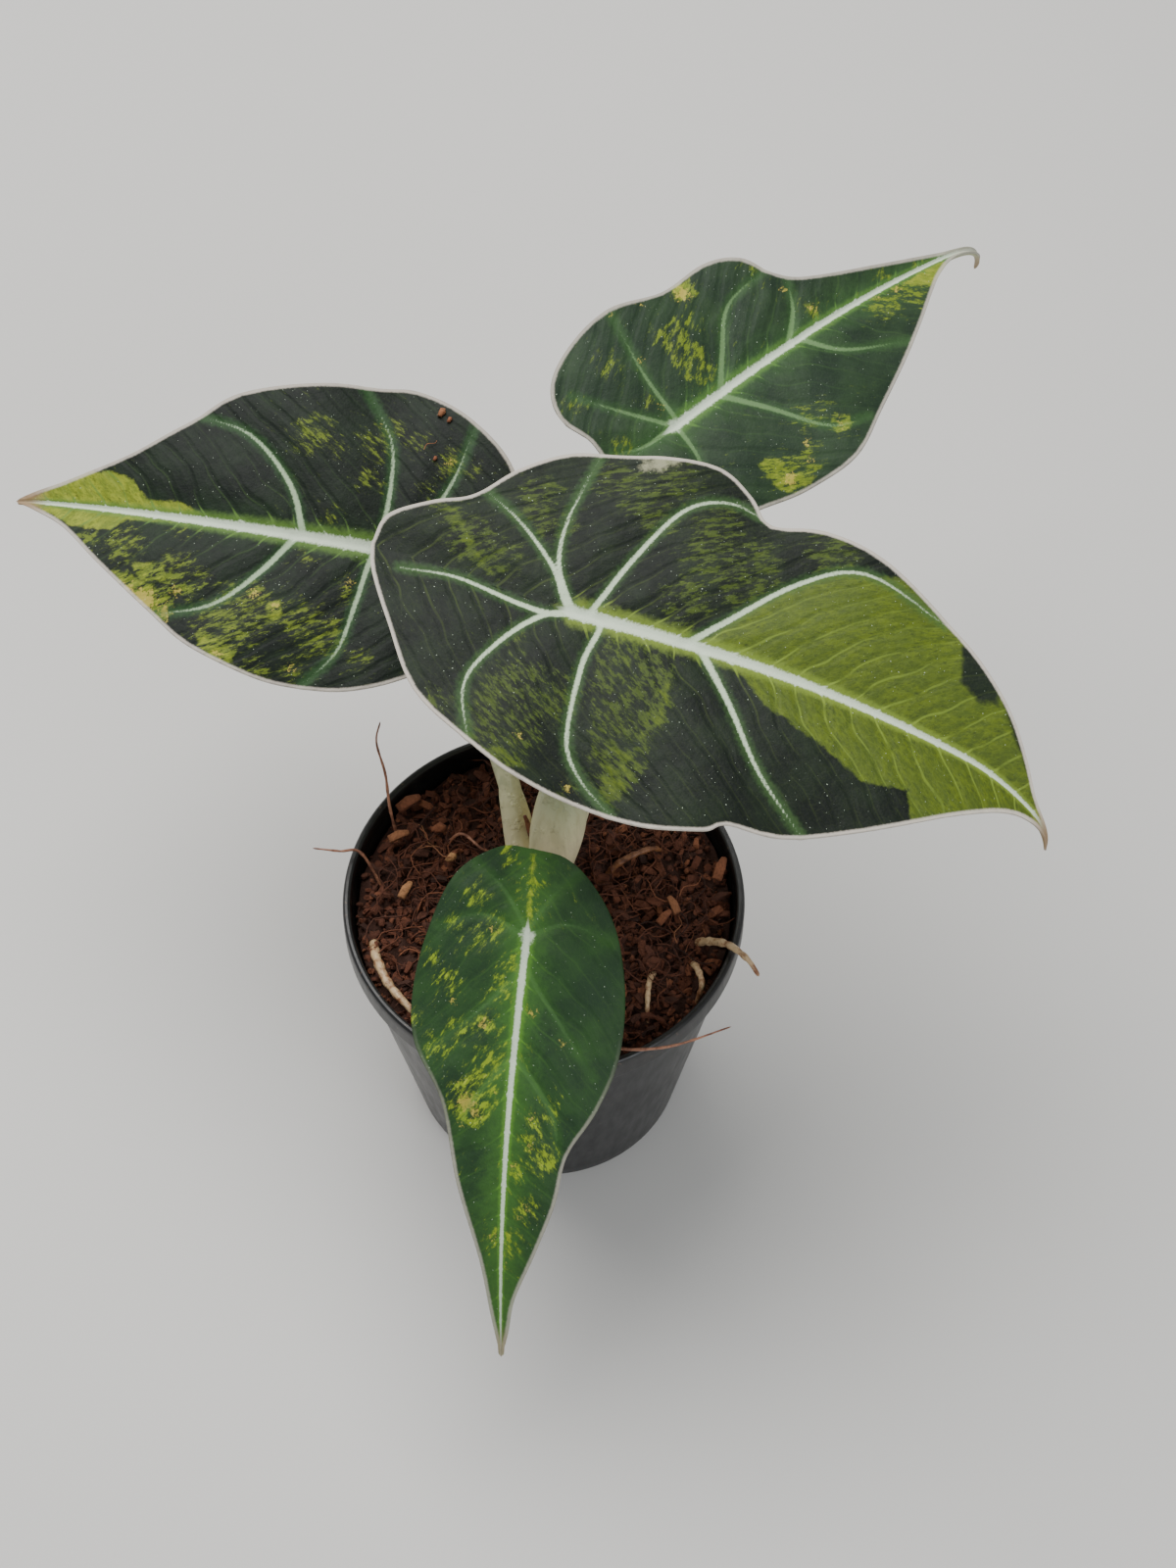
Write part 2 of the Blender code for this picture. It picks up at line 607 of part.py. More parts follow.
def make_crown():
    """The swollen stem in the soil, with a plain socket for each stalk."""
    radius, bottom, top = CROWN_RADIUS, CROWN_BOTTOM, CROWN_TOP
    profile = [(0, bottom), (radius - CROWN_ROUND, bottom), (radius, bottom + CROWN_ROUND),
               (radius, top - CROWN_EASE), (radius - CROWN_EASE, top), (0, top)]
    crown = as_object("crown", turned(profile, CROWN_SIDES, CROWN_PLACE), "stalk")
    fuse(crown, "DIFFERENCE", [socket(leaf) for leaf in LEAVES.values()], "MANIFOLD")


def main():
    clear_scene()
    make_pot()
    make_soil()
    make_crown()
    for name, leaf in LEAVES.items():
        make_stalk(name, leaf)
        make_blade(name, leaf)


main()
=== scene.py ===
# %% [markdown]
# # Alocasia black velvet in its nursery pot
# This little plant has four shield-shaped leaves on fleshy stalks, in a thin black pot of coarse
# coir. The solids that stand for it are loaded first and never moved. Each later cell then makes
# one finer piece in the same place, or one finish. Lengths are in millimetres, as a gardener
# would measure them, and become metres when a mesh is made.

# %% Load the solids
import json
import math
import random

import bpy
import numpy as np
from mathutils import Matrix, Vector, noise

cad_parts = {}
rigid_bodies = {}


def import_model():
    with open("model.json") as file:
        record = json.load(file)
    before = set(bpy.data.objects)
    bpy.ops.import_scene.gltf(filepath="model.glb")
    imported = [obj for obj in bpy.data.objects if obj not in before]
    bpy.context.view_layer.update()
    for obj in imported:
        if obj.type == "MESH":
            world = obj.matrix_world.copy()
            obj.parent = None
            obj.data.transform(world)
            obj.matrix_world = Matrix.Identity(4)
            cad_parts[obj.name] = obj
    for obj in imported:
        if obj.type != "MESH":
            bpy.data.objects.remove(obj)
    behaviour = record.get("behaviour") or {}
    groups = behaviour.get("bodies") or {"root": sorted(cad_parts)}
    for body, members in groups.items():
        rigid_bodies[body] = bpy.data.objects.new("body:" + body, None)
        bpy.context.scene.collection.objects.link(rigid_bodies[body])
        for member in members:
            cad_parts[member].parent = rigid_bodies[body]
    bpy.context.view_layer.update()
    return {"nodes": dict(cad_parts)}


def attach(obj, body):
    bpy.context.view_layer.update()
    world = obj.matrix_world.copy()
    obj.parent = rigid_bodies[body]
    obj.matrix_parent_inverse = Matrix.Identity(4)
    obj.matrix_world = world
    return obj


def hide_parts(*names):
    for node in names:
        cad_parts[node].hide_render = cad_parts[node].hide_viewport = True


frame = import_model()
MM = 0.001
print("solids:", sorted(frame["nodes"]))

# %% [markdown]
# ## The view and the light
# The photograph looks down on the plant from the front at 57.5 degrees, through a long lens, so
# near and far leaves keep their proportions. One could place a camera by eye, but the numbers
# here were fitted to the ellipses of the pot's rim and base, and the lens follows from the height
# of the view, 28 degrees. The light is one wide soft panel overhead, as over a product table,
# with a weak one in front and a pale room around.

# %% Camera and lights
VIEW_TARGET = (9.9, 40.6, 60.0)
VIEW_DISTANCE = 739.0
VIEW_DOWN = 57.5
VIEW_HEIGHT_ANGLE = 28.0


def add_camera():
    down = math.radians(VIEW_DOWN)
    back = Vector((0, -math.cos(down), math.sin(down))) * VIEW_DISTANCE
    place = (Vector(VIEW_TARGET) + back) * MM
    bpy.ops.object.camera_add(location=place, rotation=(math.pi / 2 - down, 0, 0))
    camera = bpy.context.object
    camera.data.sensor_fit = "VERTICAL"
    camera.data.sensor_height = 24
    camera.data.angle = math.radians(VIEW_HEIGHT_ANGLE)
    bpy.context.scene.camera = camera
    return camera


def add_panel(name, place, target, size, power, tint):
    """A square area light that faces its target."""
    bpy.ops.object.light_add(type="AREA", location=place)
    panel = bpy.context.object
    panel.name = name
    panel.data.size = size
    panel.data.energy = power
    panel.data.color = tint
    panel.rotation_euler = (Vector(target) - Vector(place)).to_track_quat("-Z", "Y").to_euler()


camera = add_camera()
add_panel("overhead_panel", (-0.25, 0.35, 1.05), (0, 0.03, 0.1), 0.9, 16, (1.0, 0.985, 0.96))
add_panel("front_panel", (0.55, -0.8, 0.7), (0, 0, 0.1), 0.7, 4.5, (0.94, 0.97, 1.0))
print("camera at", [round(value, 3) for value in camera.location])


# %% [markdown]
# ## Building blocks for finishes
# A finish is a small network of nodes. Most of its steps are the same few: a bit of arithmetic,
# a soft threshold that turns a distance into a mask, a noise, and a mix of two colours by a
# mask. With these as one-line helpers, each finish below reads like a recipe.

# %% Helpers for node networks
class Finish:
    """A material under construction, with short calls for the nodes that it is made of."""

    def __init__(self, name, roughness, **constants):
        self.material = bpy.data.materials.new(name)
        self.material.use_nodes = True
        self.nodes = self.material.node_tree.nodes
        self.links = self.material.node_tree.links
        self.shader = self.nodes["Principled BSDF"]
        self.shader.inputs["Roughness"].default_value = roughness
        for socket, value in constants.items():
            self.shader.inputs[socket.replace("_", " ")].default_value = value

    def put(self, node, socket, value):
        """Links an output to a socket, or sets the socket to a number or colour."""
        target = node.inputs[socket]
        if isinstance(value, bpy.types.NodeSocket):
            self.links.new(value, target)
        else:
            target.default_value = value

    def attribute(self, name):
        node = self.nodes.new("ShaderNodeAttribute")
        node.attribute_name = name
        return node.outputs["Fac"]

    def position(self):
        return self.nodes.new("ShaderNodeTexCoord").outputs["Object"]

    def sum(self, operation, first, second=0.0, third=0.0):
        node = self.nodes.new("ShaderNodeMath")
        node.operation = operation
        for socket, value in enumerate((first, second, third)):
            self.put(node, socket, value)
        return node.outputs[0]

    def times(self, first, second):
        return self.sum("MULTIPLY", first, second)

    def scaled(self, value, scale, added):
        """The value times the scale, plus what is added."""
        return self.sum("MULTIPLY_ADD", value, scale, added)

    def larger(self, first, second):
        return self.sum("MAXIMUM", first, second)

    def vector(self, x, y, z=0.0):
        node = self.nodes.new("ShaderNodeCombineXYZ")
        for socket, value in enumerate((x, y, z)):
            self.put(node, socket, value)
        return node.outputs[0]

    def stretch(self, vector, scale):
        node = self.nodes.new("ShaderNodeVectorMath")
        node.operation = "MULTIPLY"
        self.put(node, 0, vector)
        self.put(node, 1, scale)
        return node.outputs[0]

    def part(self, vector, axis):
        node = self.nodes.new("ShaderNodeSeparateXYZ")
        self.put(node, 0, vector)
        return node.outputs[axis]

    def mask(self, value, low, high, top=1.0):
        """0 where the value is at low, top where it is at high, and smooth between."""
        node = self.nodes.new("ShaderNodeMapRange")
        node.interpolation_type = "SMOOTHSTEP"
        self.put(node, "Value", value)
        self.put(node, "From Min", low)
        self.put(node, "From Max", high)
        self.put(node, "To Max", top)
        return node.outputs[0]

    def noise(self, vector, scale, detail=2.0, roughness=0.5):
        node = self.nodes.new("ShaderNodeTexNoise")
        self.put(node, "Vector", vector)
        self.put(node, "Scale", scale)
        self.put(node, "Detail", detail)
        self.put(node, "Roughness", roughness)
        return node.outputs[0]

    def cells(self, vector, scale, feature="F1", output="Color"):
        node = self.nodes.new("ShaderNodeTexVoronoi")
        node.feature = feature
        self.put(node, "Vector", vector)
        self.put(node, "Scale", scale)
        return node.outputs[output]

    def mix(self, factor, under, over):
        """The under colour with the over colour laid on it by the factor."""
        node = self.nodes.new("ShaderNodeMix")
        node.data_type = "RGBA"
        for socket, value in zip((0, 6, 7), (factor, under, over)):
            self.put(node, socket, value)
        return node.outputs[2]

    def bump(self, height, distance, strength=1.0):
        node = self.nodes.new("ShaderNodeBump")
        self.put(node, "Height", height)
        self.put(node, "Distance", distance)
        self.put(node, "Strength", strength)
        self.links.new(node.outputs[0], self.shader.inputs["Normal"])

    def colour(self, value):
        self.paint = value
        self.put(self.shader, "Base Color", value)

    def lay(self, factor, over):
        """Lays a colour over the paint so far, by the factor."""
        self.colour(self.mix(factor, self.paint, over))

    def roughness(self, value):
        self.put(self.shader, "Roughness", value)


def tint(red, green, blue):
    """A colour from screen values of 0 to 255, made linear for the shader."""
    def linear(value):
        share = value / 255
        return share / 12.92 if share <= 0.04045 else ((share + 0.055) / 1.055) ** 2.4
    return (linear(red), linear(green), linear(blue), 1.0)


print("helpers ready")


# %% [markdown]
# The floor is the one thing here that isn't part of the plant or its pot. A curved backdrop could
# hide the horizon, but this camera looks down and sees none. So a plane at the height of the
# pot's base is enough, with a faint cloudiness in its paint and the soft shadow on it.

# %% Floor and room
FLOOR_SIZE = 12.0


def add_floor():
    bpy.ops.mesh.primitive_plane_add(size=FLOOR_SIZE, location=(0, 0, 0))
    floor = bpy.context.object
    floor.name = "floor"
    paint = Finish("floor_paint", 0.6)
    cloud = paint.noise(paint.position(), 3.0, 4)
    paint.colour(paint.mix(cloud, tint(206, 205, 202), tint(216, 215, 212)))
    floor.data.materials.append(paint.material)


def set_room(strength):
    world = bpy.data.worlds.new("room")
    world.use_nodes = True
    background = world.node_tree.nodes["Background"]
    background.inputs["Color"].default_value = (0.97, 0.98, 1.0, 1)
    background.inputs["Strength"].default_value = strength
    bpy.context.scene.world = world


add_floor()
set_room(0.42)
print("floor", FLOOR_SIZE, "m wide")


# %% [markdown]
# ## Sheets that are rolled and bent
# A blade, a stalk and a root have one thing in common: each is a flat grid that was bent into
# shape. So one helper adds Blender's grid, reads each vertex's place on it as two numbers from 0
# to 1, sends them through the piece's own rule, and welds the edges that meet. A blade's rule
# bends the grid along a midrib. A stalk's rule rolls it round a path.

# %% One helper for every bent grid
WELD = 0.01


def only(piece):
    """Leaves just this piece selected and active."""
    bpy.ops.object.select_all(action="DESELECT")
    piece.select_set(True)
    bpy.context.view_layer.objects.active = piece


def edited(piece, *steps):
    """Runs each step in Edit Mode, with the whole mesh selected."""
    only(piece)
    bpy.ops.object.mode_set(mode="EDIT")
    bpy.ops.mesh.select_all(action="SELECT")
    for operator, settings in steps:
        operator(**settings)
    bpy.ops.object.mode_set(mode="OBJECT")


def weld(piece):
    """Joins vertices that share a place, as at a seam or a pole."""
    edited(piece, (bpy.ops.mesh.remove_doubles, {"threshold": WELD * MM}),
           (bpy.ops.mesh.dissolve_degenerate, {"threshold": WELD * MM / 2}))


def bent_grid(name, rows, columns, rule, facts=None):
    """A grid whose (row, column) places, each from 0 to 1, the rule turns into points in mm."""
    bpy.ops.object.select_all(action="DESELECT")
    bpy.ops.mesh.primitive_grid_add(x_subdivisions=rows, y_subdivisions=columns, size=2)
    piece = bpy.context.object
    piece.name = name
    piece.data.name = name
    flat = np.empty(len(piece.data.vertices) * 3, np.float32)
    piece.data.vertices.foreach_get("co", flat)
    flat = (flat.reshape(-1, 3).astype(float) + 1) / 2
    down, over = np.clip(flat[:, 0], 0, 1), np.clip(flat[:, 1], 0, 1)
    points = rule(down, over) * MM
    piece.data.vertices.foreach_set("co", points.astype(np.float32).ravel())
    for fact, values in (facts(down, over) if facts else {}).items():
        store(piece, fact, values)
    piece.data.update()
    weld(piece)
    return piece


def store(piece, fact, values):
    """Keeps one number for each vertex, for a finish to read."""
    layer = piece.data.attributes.new(fact, "FLOAT", "POINT")
    layer.data.foreach_set("value", np.asarray(values, np.float32))


print("a weld joins what lies within", WELD, "mm")

# %% [markdown]
# ## Paths and tubes
# Stalks, sheaths and roots all follow a route of a few known points. A curve object could carry
# them with a round bevel. But these swell, slim and wobble on the way, so a smooth path is laid
# through the points, and a grid is rolled round it with whatever radius a piece asks for.

# %% Paths, tubes and the last touches
def smooth_path(points, steps):
    """Points on a smooth curve through the given ones, with so many steps between two of them."""
    known = np.array(points, float)
    known = np.vstack([2 * known[0] - known[1], known, 2 * known[-1] - known[-2]])
    path = []
    for first, start, end, last in zip(known, known[1:], known[2:], known[3:]):
        for t in np.arange(steps) / steps:
            path.append(0.5 * (2 * start + (end - first) * t
                               + (2 * first - 5 * start + 4 * end - last) * t * t
                               + (3 * start - first - 3 * end + last) * t ** 3))
    return np.array(path + [known[-2]])


def evenly(path, shares):
    """Points along a path at those shares, from 0 to 1, of its length."""
    reached = np.concatenate([[0], np.cumsum(np.linalg.norm(np.diff(path, axis=0), axis=1))])
    return np.stack([np.interp(np.asarray(shares) * reached[-1], reached, path[:, axis])
                     for axis in range(path.shape[1])], axis=-1)


def tube(name, route, radius, rows, sides, last_share=None):
    """A closed tube along the route. radius(share, angle) gives its radius all along and round.

    With a last_share, each vertex keeps its share of the way, counted from 0 up to that number.
    """
    path = smooth_path(route, 12)
    shares = np.linspace(0, 1, 200)
    line = evenly(path, shares)
    ahead = np.gradient(line, axis=0)
    ahead /= np.linalg.norm(ahead, axis=1)[:, None]
    side = [np.array([1.0, 0.0, 0.0])]
    for forward in ahead:
        turned = side[-1] - forward * (side[-1] @ forward)
        side.append(turned / np.linalg.norm(turned))
    side = np.array(side[1:])
    up = np.cross(ahead, side)

    def along(table, places):
        return np.stack([np.interp(places, shares, table[:, axis]) for axis in range(3)], axis=-1)

    def rule(down, over):
        angle = -2 * math.pi * over
        reach = radius(down, angle) * np.where((down < 1e-6) | (down > 1 - 1e-6), 0, 1)
        sideways = along(side, down) * (np.cos(angle) * reach)[:, None]
        upwards = along(up, down) * (np.sin(angle) * reach)[:, None]
        return along(line, down) + sideways + upwards

    facts = (lambda down, over: {"share": down * last_share}) if last_share else None
    return bent_grid(name, rows, sides, rule, facts)


def finished(piece, material, slot, *nodes):
    """Gives a piece its finish, shades it smooth, lets it ride on the plant, and hides the solids it
    stands for.
    """
    if material:
        piece.data.materials.clear()
        piece.data.materials.append(material)
    only(piece)
    bpy.ops.object.shade_smooth()
    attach(piece, "root")
    if nodes:
        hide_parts(*nodes)
    print(piece.name, len(piece.data.polygons), "faces")


print("three points give a path of", len(smooth_path([(0, 0), (1, 1), (2, 0)], 12)), "points")

# %% [markdown]
# ## The leaves' shapes
# Each leaf is described the way one would draw it: where its stalk meets it, which way it
# points, how far it droops, its outline on either side of the midrib, and the routes of its
# large veins. A place on a blade is (along, across): along the midrib towards the tip, and
# across it, positive to the left. One could push a mesh about by eye instead, but the same
# numbers shaped the solids, so the two agree. Only the back leaf's drip tip curls less here.

# %% Four leaves
LEAVES = {
    "big": {
        "at": (7, 22, 155), "heading": -22, "pitch": 2, "roll": 12, "ahead": 112, "behind": 46,
        "droop": 22, "rear_droop": 8, "hook": 55, "hook_length": 9, "fold": 0.1, "curl": 0.25, "bow": 3,
        "sweep": -7, "wave": 1.6, "wave_length": 46, "wave_shift": 0.6, "half_width": 40, "midrib": 1.6,
        "vein_fade": 0.33,
        "left_edge": [(-46, 0), (-45, 7), (-37, 13), (-30, 17), (-23, 26), (-14, 34), (-3, 37), (6, 39),
            (17, 40), (25, 36), (31, 31), (42, 33), (57, 31), (76, 23), (90, 14), (98, 7), (104, 1.8),
            (112, 0)],
        "right_edge": [(-46, 0), (-43, -6), (-35, -16), (-24, -28), (-8, -35), (2, -38), (14, -40),
            (30, -41), (42, -38), (46, -35), (57, -33), (72, -25), (88, -13), (98, -5), (104, -2),
            (112, 0)],
        "veins": [
            [(24, 0), (30, 7), (41, 20), (53, 27), (72, 24)],
            [(3, 1), (7, 14), (13, 28), (21, 33), (29, 32)],
            [(-1, 1), (-7, 9), (-9, 20), (-8, 35)],
            [(-3, 2), (-8, 8), (-18, 15), (-27, 19)],
            [(-5, -2), (-13, -2), (-26, -1), (-38, -3)],
            [(-6, -3), (-12, -12), (-15, -23), (-9, -35)],
            [(6, -1), (6, -11), (9, -27), (14, -34), (23, -40)],
            [(28, -1), (37, -10), (48, -22), (61, -31)]],
        "stalk": [(2, 4.5, 68), (2, 4.5, 81), (4, 9, 104), (7, 19, 130)],
    },
    "left": {
        "at": (-33, 58, 128), "heading": 171, "pitch": -4, "roll": -20, "ahead": 88, "behind": 27,
        "droop": 18, "rear_droop": 8, "hook": 12, "hook_length": 6, "fold": 0.1, "curl": 0.25, "bow": 0,
        "sweep": 0, "wave": 1.4, "wave_length": 40, "wave_shift": 2.2, "half_width": 36, "midrib": 1.65,
        "vein_fade": 0.42,
        "left_edge": [(-27, 0), (-26, 10), (-18, 21), (-7, 29), (3, 33), (13, 34), (25, 33.5), (40, 29),
            (51, 22), (64, 13), (74, 5.5), (82, 2), (88, 0)],
        "right_edge": [(-27, 0), (-27, -12), (-22, -24), (-11, -33), (1, -37.5), (10, -36.5), (22, -35),
            (40, -30.5), (50, -22), (61, -13), (74, -6), (82, -2.6), (88, 0)],
        "veins": [
            [(20, 0), (25, -11), (36, -21), (49, -24)],
            [(3, -1), (3, -13), (5, -25), (13, -36)],
            [(-3, -2), (-10, -17), (-13, -31)],
            [(22, 1), (28, 10), (37, 19), (50, 23)],
            [(4, 1), (6, 15), (8, 25), (14, 33)],
            [(-3, 2), (-10, 11), (-15, 21)],
            [(-4, 0), (-14, -2), (-24, -4)]],
        "stalk": [(-4.5, 8.5, 68), (-4.5, 8.5, 80), (-8.5, 21, 96), (-18, 39, 108)],
    },
    "back": {
        "at": (29, 77, 148), "heading": 37, "pitch": -4, "roll": 16, "ahead": 106, "behind": 18,
        "droop": 25, "rear_droop": 9, "hook": 66, "hook_length": 24, "fold": 0.12, "curl": 0.25,
        "bow": 2, "sweep": 0, "wave": 1.6, "wave_length": 38, "wave_shift": 1.0, "half_width": 30,
        "midrib": 1.15, "vein_fade": 0.42,
        "left_edge": [(-18, 0), (-18, 7), (-20.5, 15), (-17, 23), (-8, 28), (3, 29.5), (16, 26),
            (28, 26), (36, 22), (41, 14.5), (49, 9.5), (64, 5), (77, 2), (84, 0.9), (95, 0.7), (106, 0)],
        "right_edge": [(-18, 0), (-19, -8), (-16, -17), (-7, -24), (5, -27), (16, -29.5), (28, -30),
            (40, -24.5), (56, -16), (70, -7), (77, -3), (84, -0.9), (95, -0.7), (106, 0)],
        "veins": [
            [(13, 0), (19, 7), (27, 15), (39, 17)],
            [(1, 1), (1, 13), (3, 28)],
            [(-1, 1), (-8, 9), (-15, 18)],
            [(-3, 0), (-9, 0), (-15, 2)],
            [(0, -2), (-1, -10), (-6, -21)],
            [(13, -1), (20, -10), (28, -21), (37, -24)],
            [(33, 0), (39, 6), (42, 12)],
            [(36, 0), (43, -8), (57, -14)]],
        "stalk": [(4.5, 11.2, 68), (4.5, 11.2, 80), (10, 28, 104), (19, 52, 125)],
    },
    "front": {
        "at": (-3, -28, 108), "heading": -95, "pitch": 30, "roll": 0, "ahead": 96, "behind": 18.5,
        "droop": 35, "rear_droop": 12, "hook": 0, "hook_length": 6, "fold": 0.0, "curl": 0.6,
        "bow": -1.2, "sweep": 0, "wave": 0.9, "wave_length": 36, "wave_shift": 0.4, "half_width": 23,
        "midrib": 0.85, "vein_fade": 0.45,
        "left_edge": [(-18.5, 0), (-17, 7), (-12, 13), (-3, 18.5), (11, 22), (25, 22), (36, 18.5),
            (46, 13), (57, 11), (69, 7), (80, 3), (89, 1.6), (96, 0)],
        "right_edge": [(-18.5, 0), (-18.5, -7), (-13, -15.5), (-2, -20.5), (12, -23), (24, -21.5),
            (36, -14.5), (52, -10.5), (70, -4.8), (85, -2), (96, 0)],
        "veins": [
            [(7, 1), (18, 9), (29, 17)],
            [(7, -1), (17, -9), (25, -18)],
            [(26, 1), (37, 9), (46, 11)],
            [(26, -1), (36, -8), (45, -11)],
            [(-1, 2), (-3, 9), (0, 18)],
            [(-1, -2), (-4, -10), (-1, -19)],
            [(-3, 1), (-9, 5), (-14, 10)],
            [(-3, -1), (-10, -6), (-15, -12)]],
        "stalk": [(-2.5, -0.5, 68), (-2.5, -0.5, 79), (-2.5, -9, 91)],
    },
}
for name, leaf in LEAVES.items():
    print(name, "leaf:", leaf["ahead"] + leaf["behind"], "mm long,", len(leaf["veins"]), "large veins")

# %% [markdown]
# ## The surface of a blade
# The midrib is a line that turns down a little more with each step towards the tip. At each
# place along it the blade goes out to both sides, with a slight keel, a fall towards the margin
# and a ripple that grows outwards. Between its veins the real blade swells like a quilt, and the
# veins lie in furrows. All of it is a rule for one place, which numpy works out for all places
# at once.

# %% From a place on the leaf to a point in the room
PILLOW = 0.9  # how high the blade swells between its veins
PILLOW_SPREAD = 6.0  # how far from a vein two thirds of that height are reached
SWEEP_FROM = 0.76  # share of the way to the tip from which it swings sideways
WAVE_LAG = 2.0  # how far, in radians, the right margin ripples out of step with the left
MIDRIB_FURROW = 0.45
VEIN_FURROW = 0.3
VEIN_HALF_WIDTH = 1.05
BEHIND_STALK = 4.0  # how far behind the stalk the midrib has thinned out
NEAR_STALK = 7.5  # a vein that starts nearer than this is led to the stalk
MIDRIB_STEP = 0.25


def leaf_axes(leaf):
    """Unit vectors at the stalk: along the midrib to the tip, across to its left, and up."""
    heading, pitch, roll = (math.radians(leaf[key]) for key in ("heading", "pitch", "roll"))
    along = np.array([math.cos(heading) * math.cos(pitch), math.sin(heading) * math.cos(pitch),
                      -math.sin(pitch)])
    level = np.array([-math.sin(heading), math.cos(heading), 0])
    up = np.cross(along, level)
    return (along, level * math.cos(roll) + up * math.sin(roll),
            up * math.cos(roll) - level * math.sin(roll))


def bend(leaf, along):
    """How far the midrib has turned down at those places, in radians."""
    share = np.abs(along) / leaf["ahead"]
    past = np.maximum(along - leaf["ahead"] + leaf["hook_length"], 0) / leaf["hook_length"]
    front = leaf["droop"] * share ** 1.5 + leaf["hook"] * past
    return np.radians(np.where(along < 0, -leaf["rear_droop"] * share, front))


def midrib_table(leaf):
    """Evenly spaced places along the midrib, and how far it has run and risen at each."""
    places = np.arange(-leaf["behind"] - 2, leaf["ahead"] + 2, MIDRIB_STEP)
    turn = bend(leaf, places)
    run = np.cumsum(np.cos(turn)) * MIDRIB_STEP
    rise = -np.cumsum(np.sin(turn)) * MIDRIB_STEP
    return places, run - np.interp(0, places, run), rise - np.interp(0, places, rise)


print("the big midrib has", len(midrib_table(LEAVES["big"])[0]), "steps")

# %% [markdown]
# ## Veins, furrows and the whole surface
# Each place of a blade has to know how far it is from the nearest vein, since furrows, quilting
# and silver lines all depend on that. One could cut the veins into the mesh with their own edges.
# A distance is simpler and bends with any outline, so the helpers below measure it.

# %% Distances, and the surface rule
def to_route(along, across, route):
    """The distance of each place from a route, and the share of the route at its nearest point."""
    nearest = np.full(along.shape, 1e9)
    share_there = np.zeros(along.shape)
    count = len(route) - 1
    for index, (start, end) in enumerate(zip(route, route[1:])):
        run_x, run_y = end - start
        share = (along - start[0]) * run_x + (across - start[1]) * run_y
        share = np.clip(share / (run_x ** 2 + run_y ** 2), 0, 1)
        away = np.hypot(along - start[0] - share * run_x, across - start[1] - share * run_y)
        share_there = np.where(away < nearest, (index + share) / count, share_there)
        nearest = np.minimum(nearest, away)
    return nearest, share_there


def vein_facts(leaf, along, across):
    """Distance in mm to the nearest large vein, and a ridge of 1 on it that dies away."""
    nearest = np.full(along.shape, 1e9)
    line = np.zeros(along.shape)
    for vein in leaf["veins"]:
        from_stalk = [(0, 0)] if math.hypot(*vein[0]) < NEAR_STALK else []
        away, share = to_route(along, across, smooth_path(from_stalk + vein, 5))
        nearest = np.minimum(nearest, away)
        width = VEIN_HALF_WIDTH * (1.4 - 0.72 * share ** 0.6)
        line = np.maximum(line, (1 - leaf["vein_fade"] * share ** 3) * np.exp(-(away / width) ** 2))
    return nearest, line


def midrib_width(leaf, along):
    """Half the midrib's width, widest at the stalk and a thread at either end."""
    ahead = np.clip(1 - along / leaf["ahead"], 0.0, 1)
    behind = np.clip(1 + along / BEHIND_STALK, 0.0, 1)
    return leaf["midrib"] * np.where(along > 0, 0.2 + 0.8 * ahead ** 0.9, 0.12 + 0.88 * behind)


def blade_points(leaf, along, across, below=0.0):
    """Points of the blade in mm, so far under its upper face."""
    ahead, side, up = leaf_axes(leaf)
    places, run, rise = midrib_table(leaf)
    turn = bend(leaf, along)[:, None]
    normal = up * np.cos(turn) + ahead * np.sin(turn)
    share = np.clip(along / leaf["ahead"], 0, 1)
    near_tip = np.maximum(0, (along / leaf["ahead"] - SWEEP_FROM) / (1 - SWEEP_FROM))
    shift = leaf["bow"] * np.sin(math.pi * share) + leaf["sweep"] * near_tip ** 2
    phase = leaf["wave_shift"] + np.where(across > 0, 0, WAVE_LAG)
    ripple = np.sin(2 * math.pi * along / leaf["wave_length"] + phase)
    nearest, line = vein_facts(leaf, along, across)
    to_vein = np.minimum(nearest, np.abs(across))
    fade = np.maximum(0, 1 - (across / leaf["half_width"]) ** 4)
    height = (leaf["fold"] * np.abs(across) - leaf["curl"] * across ** 2 / 100
              + leaf["wave"] * (across / leaf["half_width"]) ** 2 * ripple
              + PILLOW * fade * (1 - np.exp(-(to_vein / PILLOW_SPREAD) ** 2))
              - VEIN_FURROW * line
              - MIDRIB_FURROW * np.clip(1 + along / BEHIND_STALK, 0, 1)
              * np.exp(-(across / midrib_width(leaf, along)) ** 2))
    spot = np.array(leaf["at"]) + np.outer(np.interp(along, places, run), ahead)
    spot = spot + np.outer(np.interp(along, places, rise), up)
    return spot + np.outer(across + shift, side) + normal * (height - below)[:, None]


print("the big leaf's stalk meets it at", blade_points(LEAVES["big"], np.zeros(1), np.zeros(1)))

# %% [markdown]
# ## The markings on each leaf
# A variegated leaf is painted in sectors: whole wedges between two veins lack the dark pigment,
# and so do small islands and clusters of specks. A lime wedge, a dark gap in it, a speckled panel
# and a crisp pale patch are each a loop of places on the leaf. A cluster, a golden spot and a
# scar are a place and a radius. An image could hold all this, but it blurs close up. So every
# vertex stores how far inside them it lies, and the finish frays each border with noise.

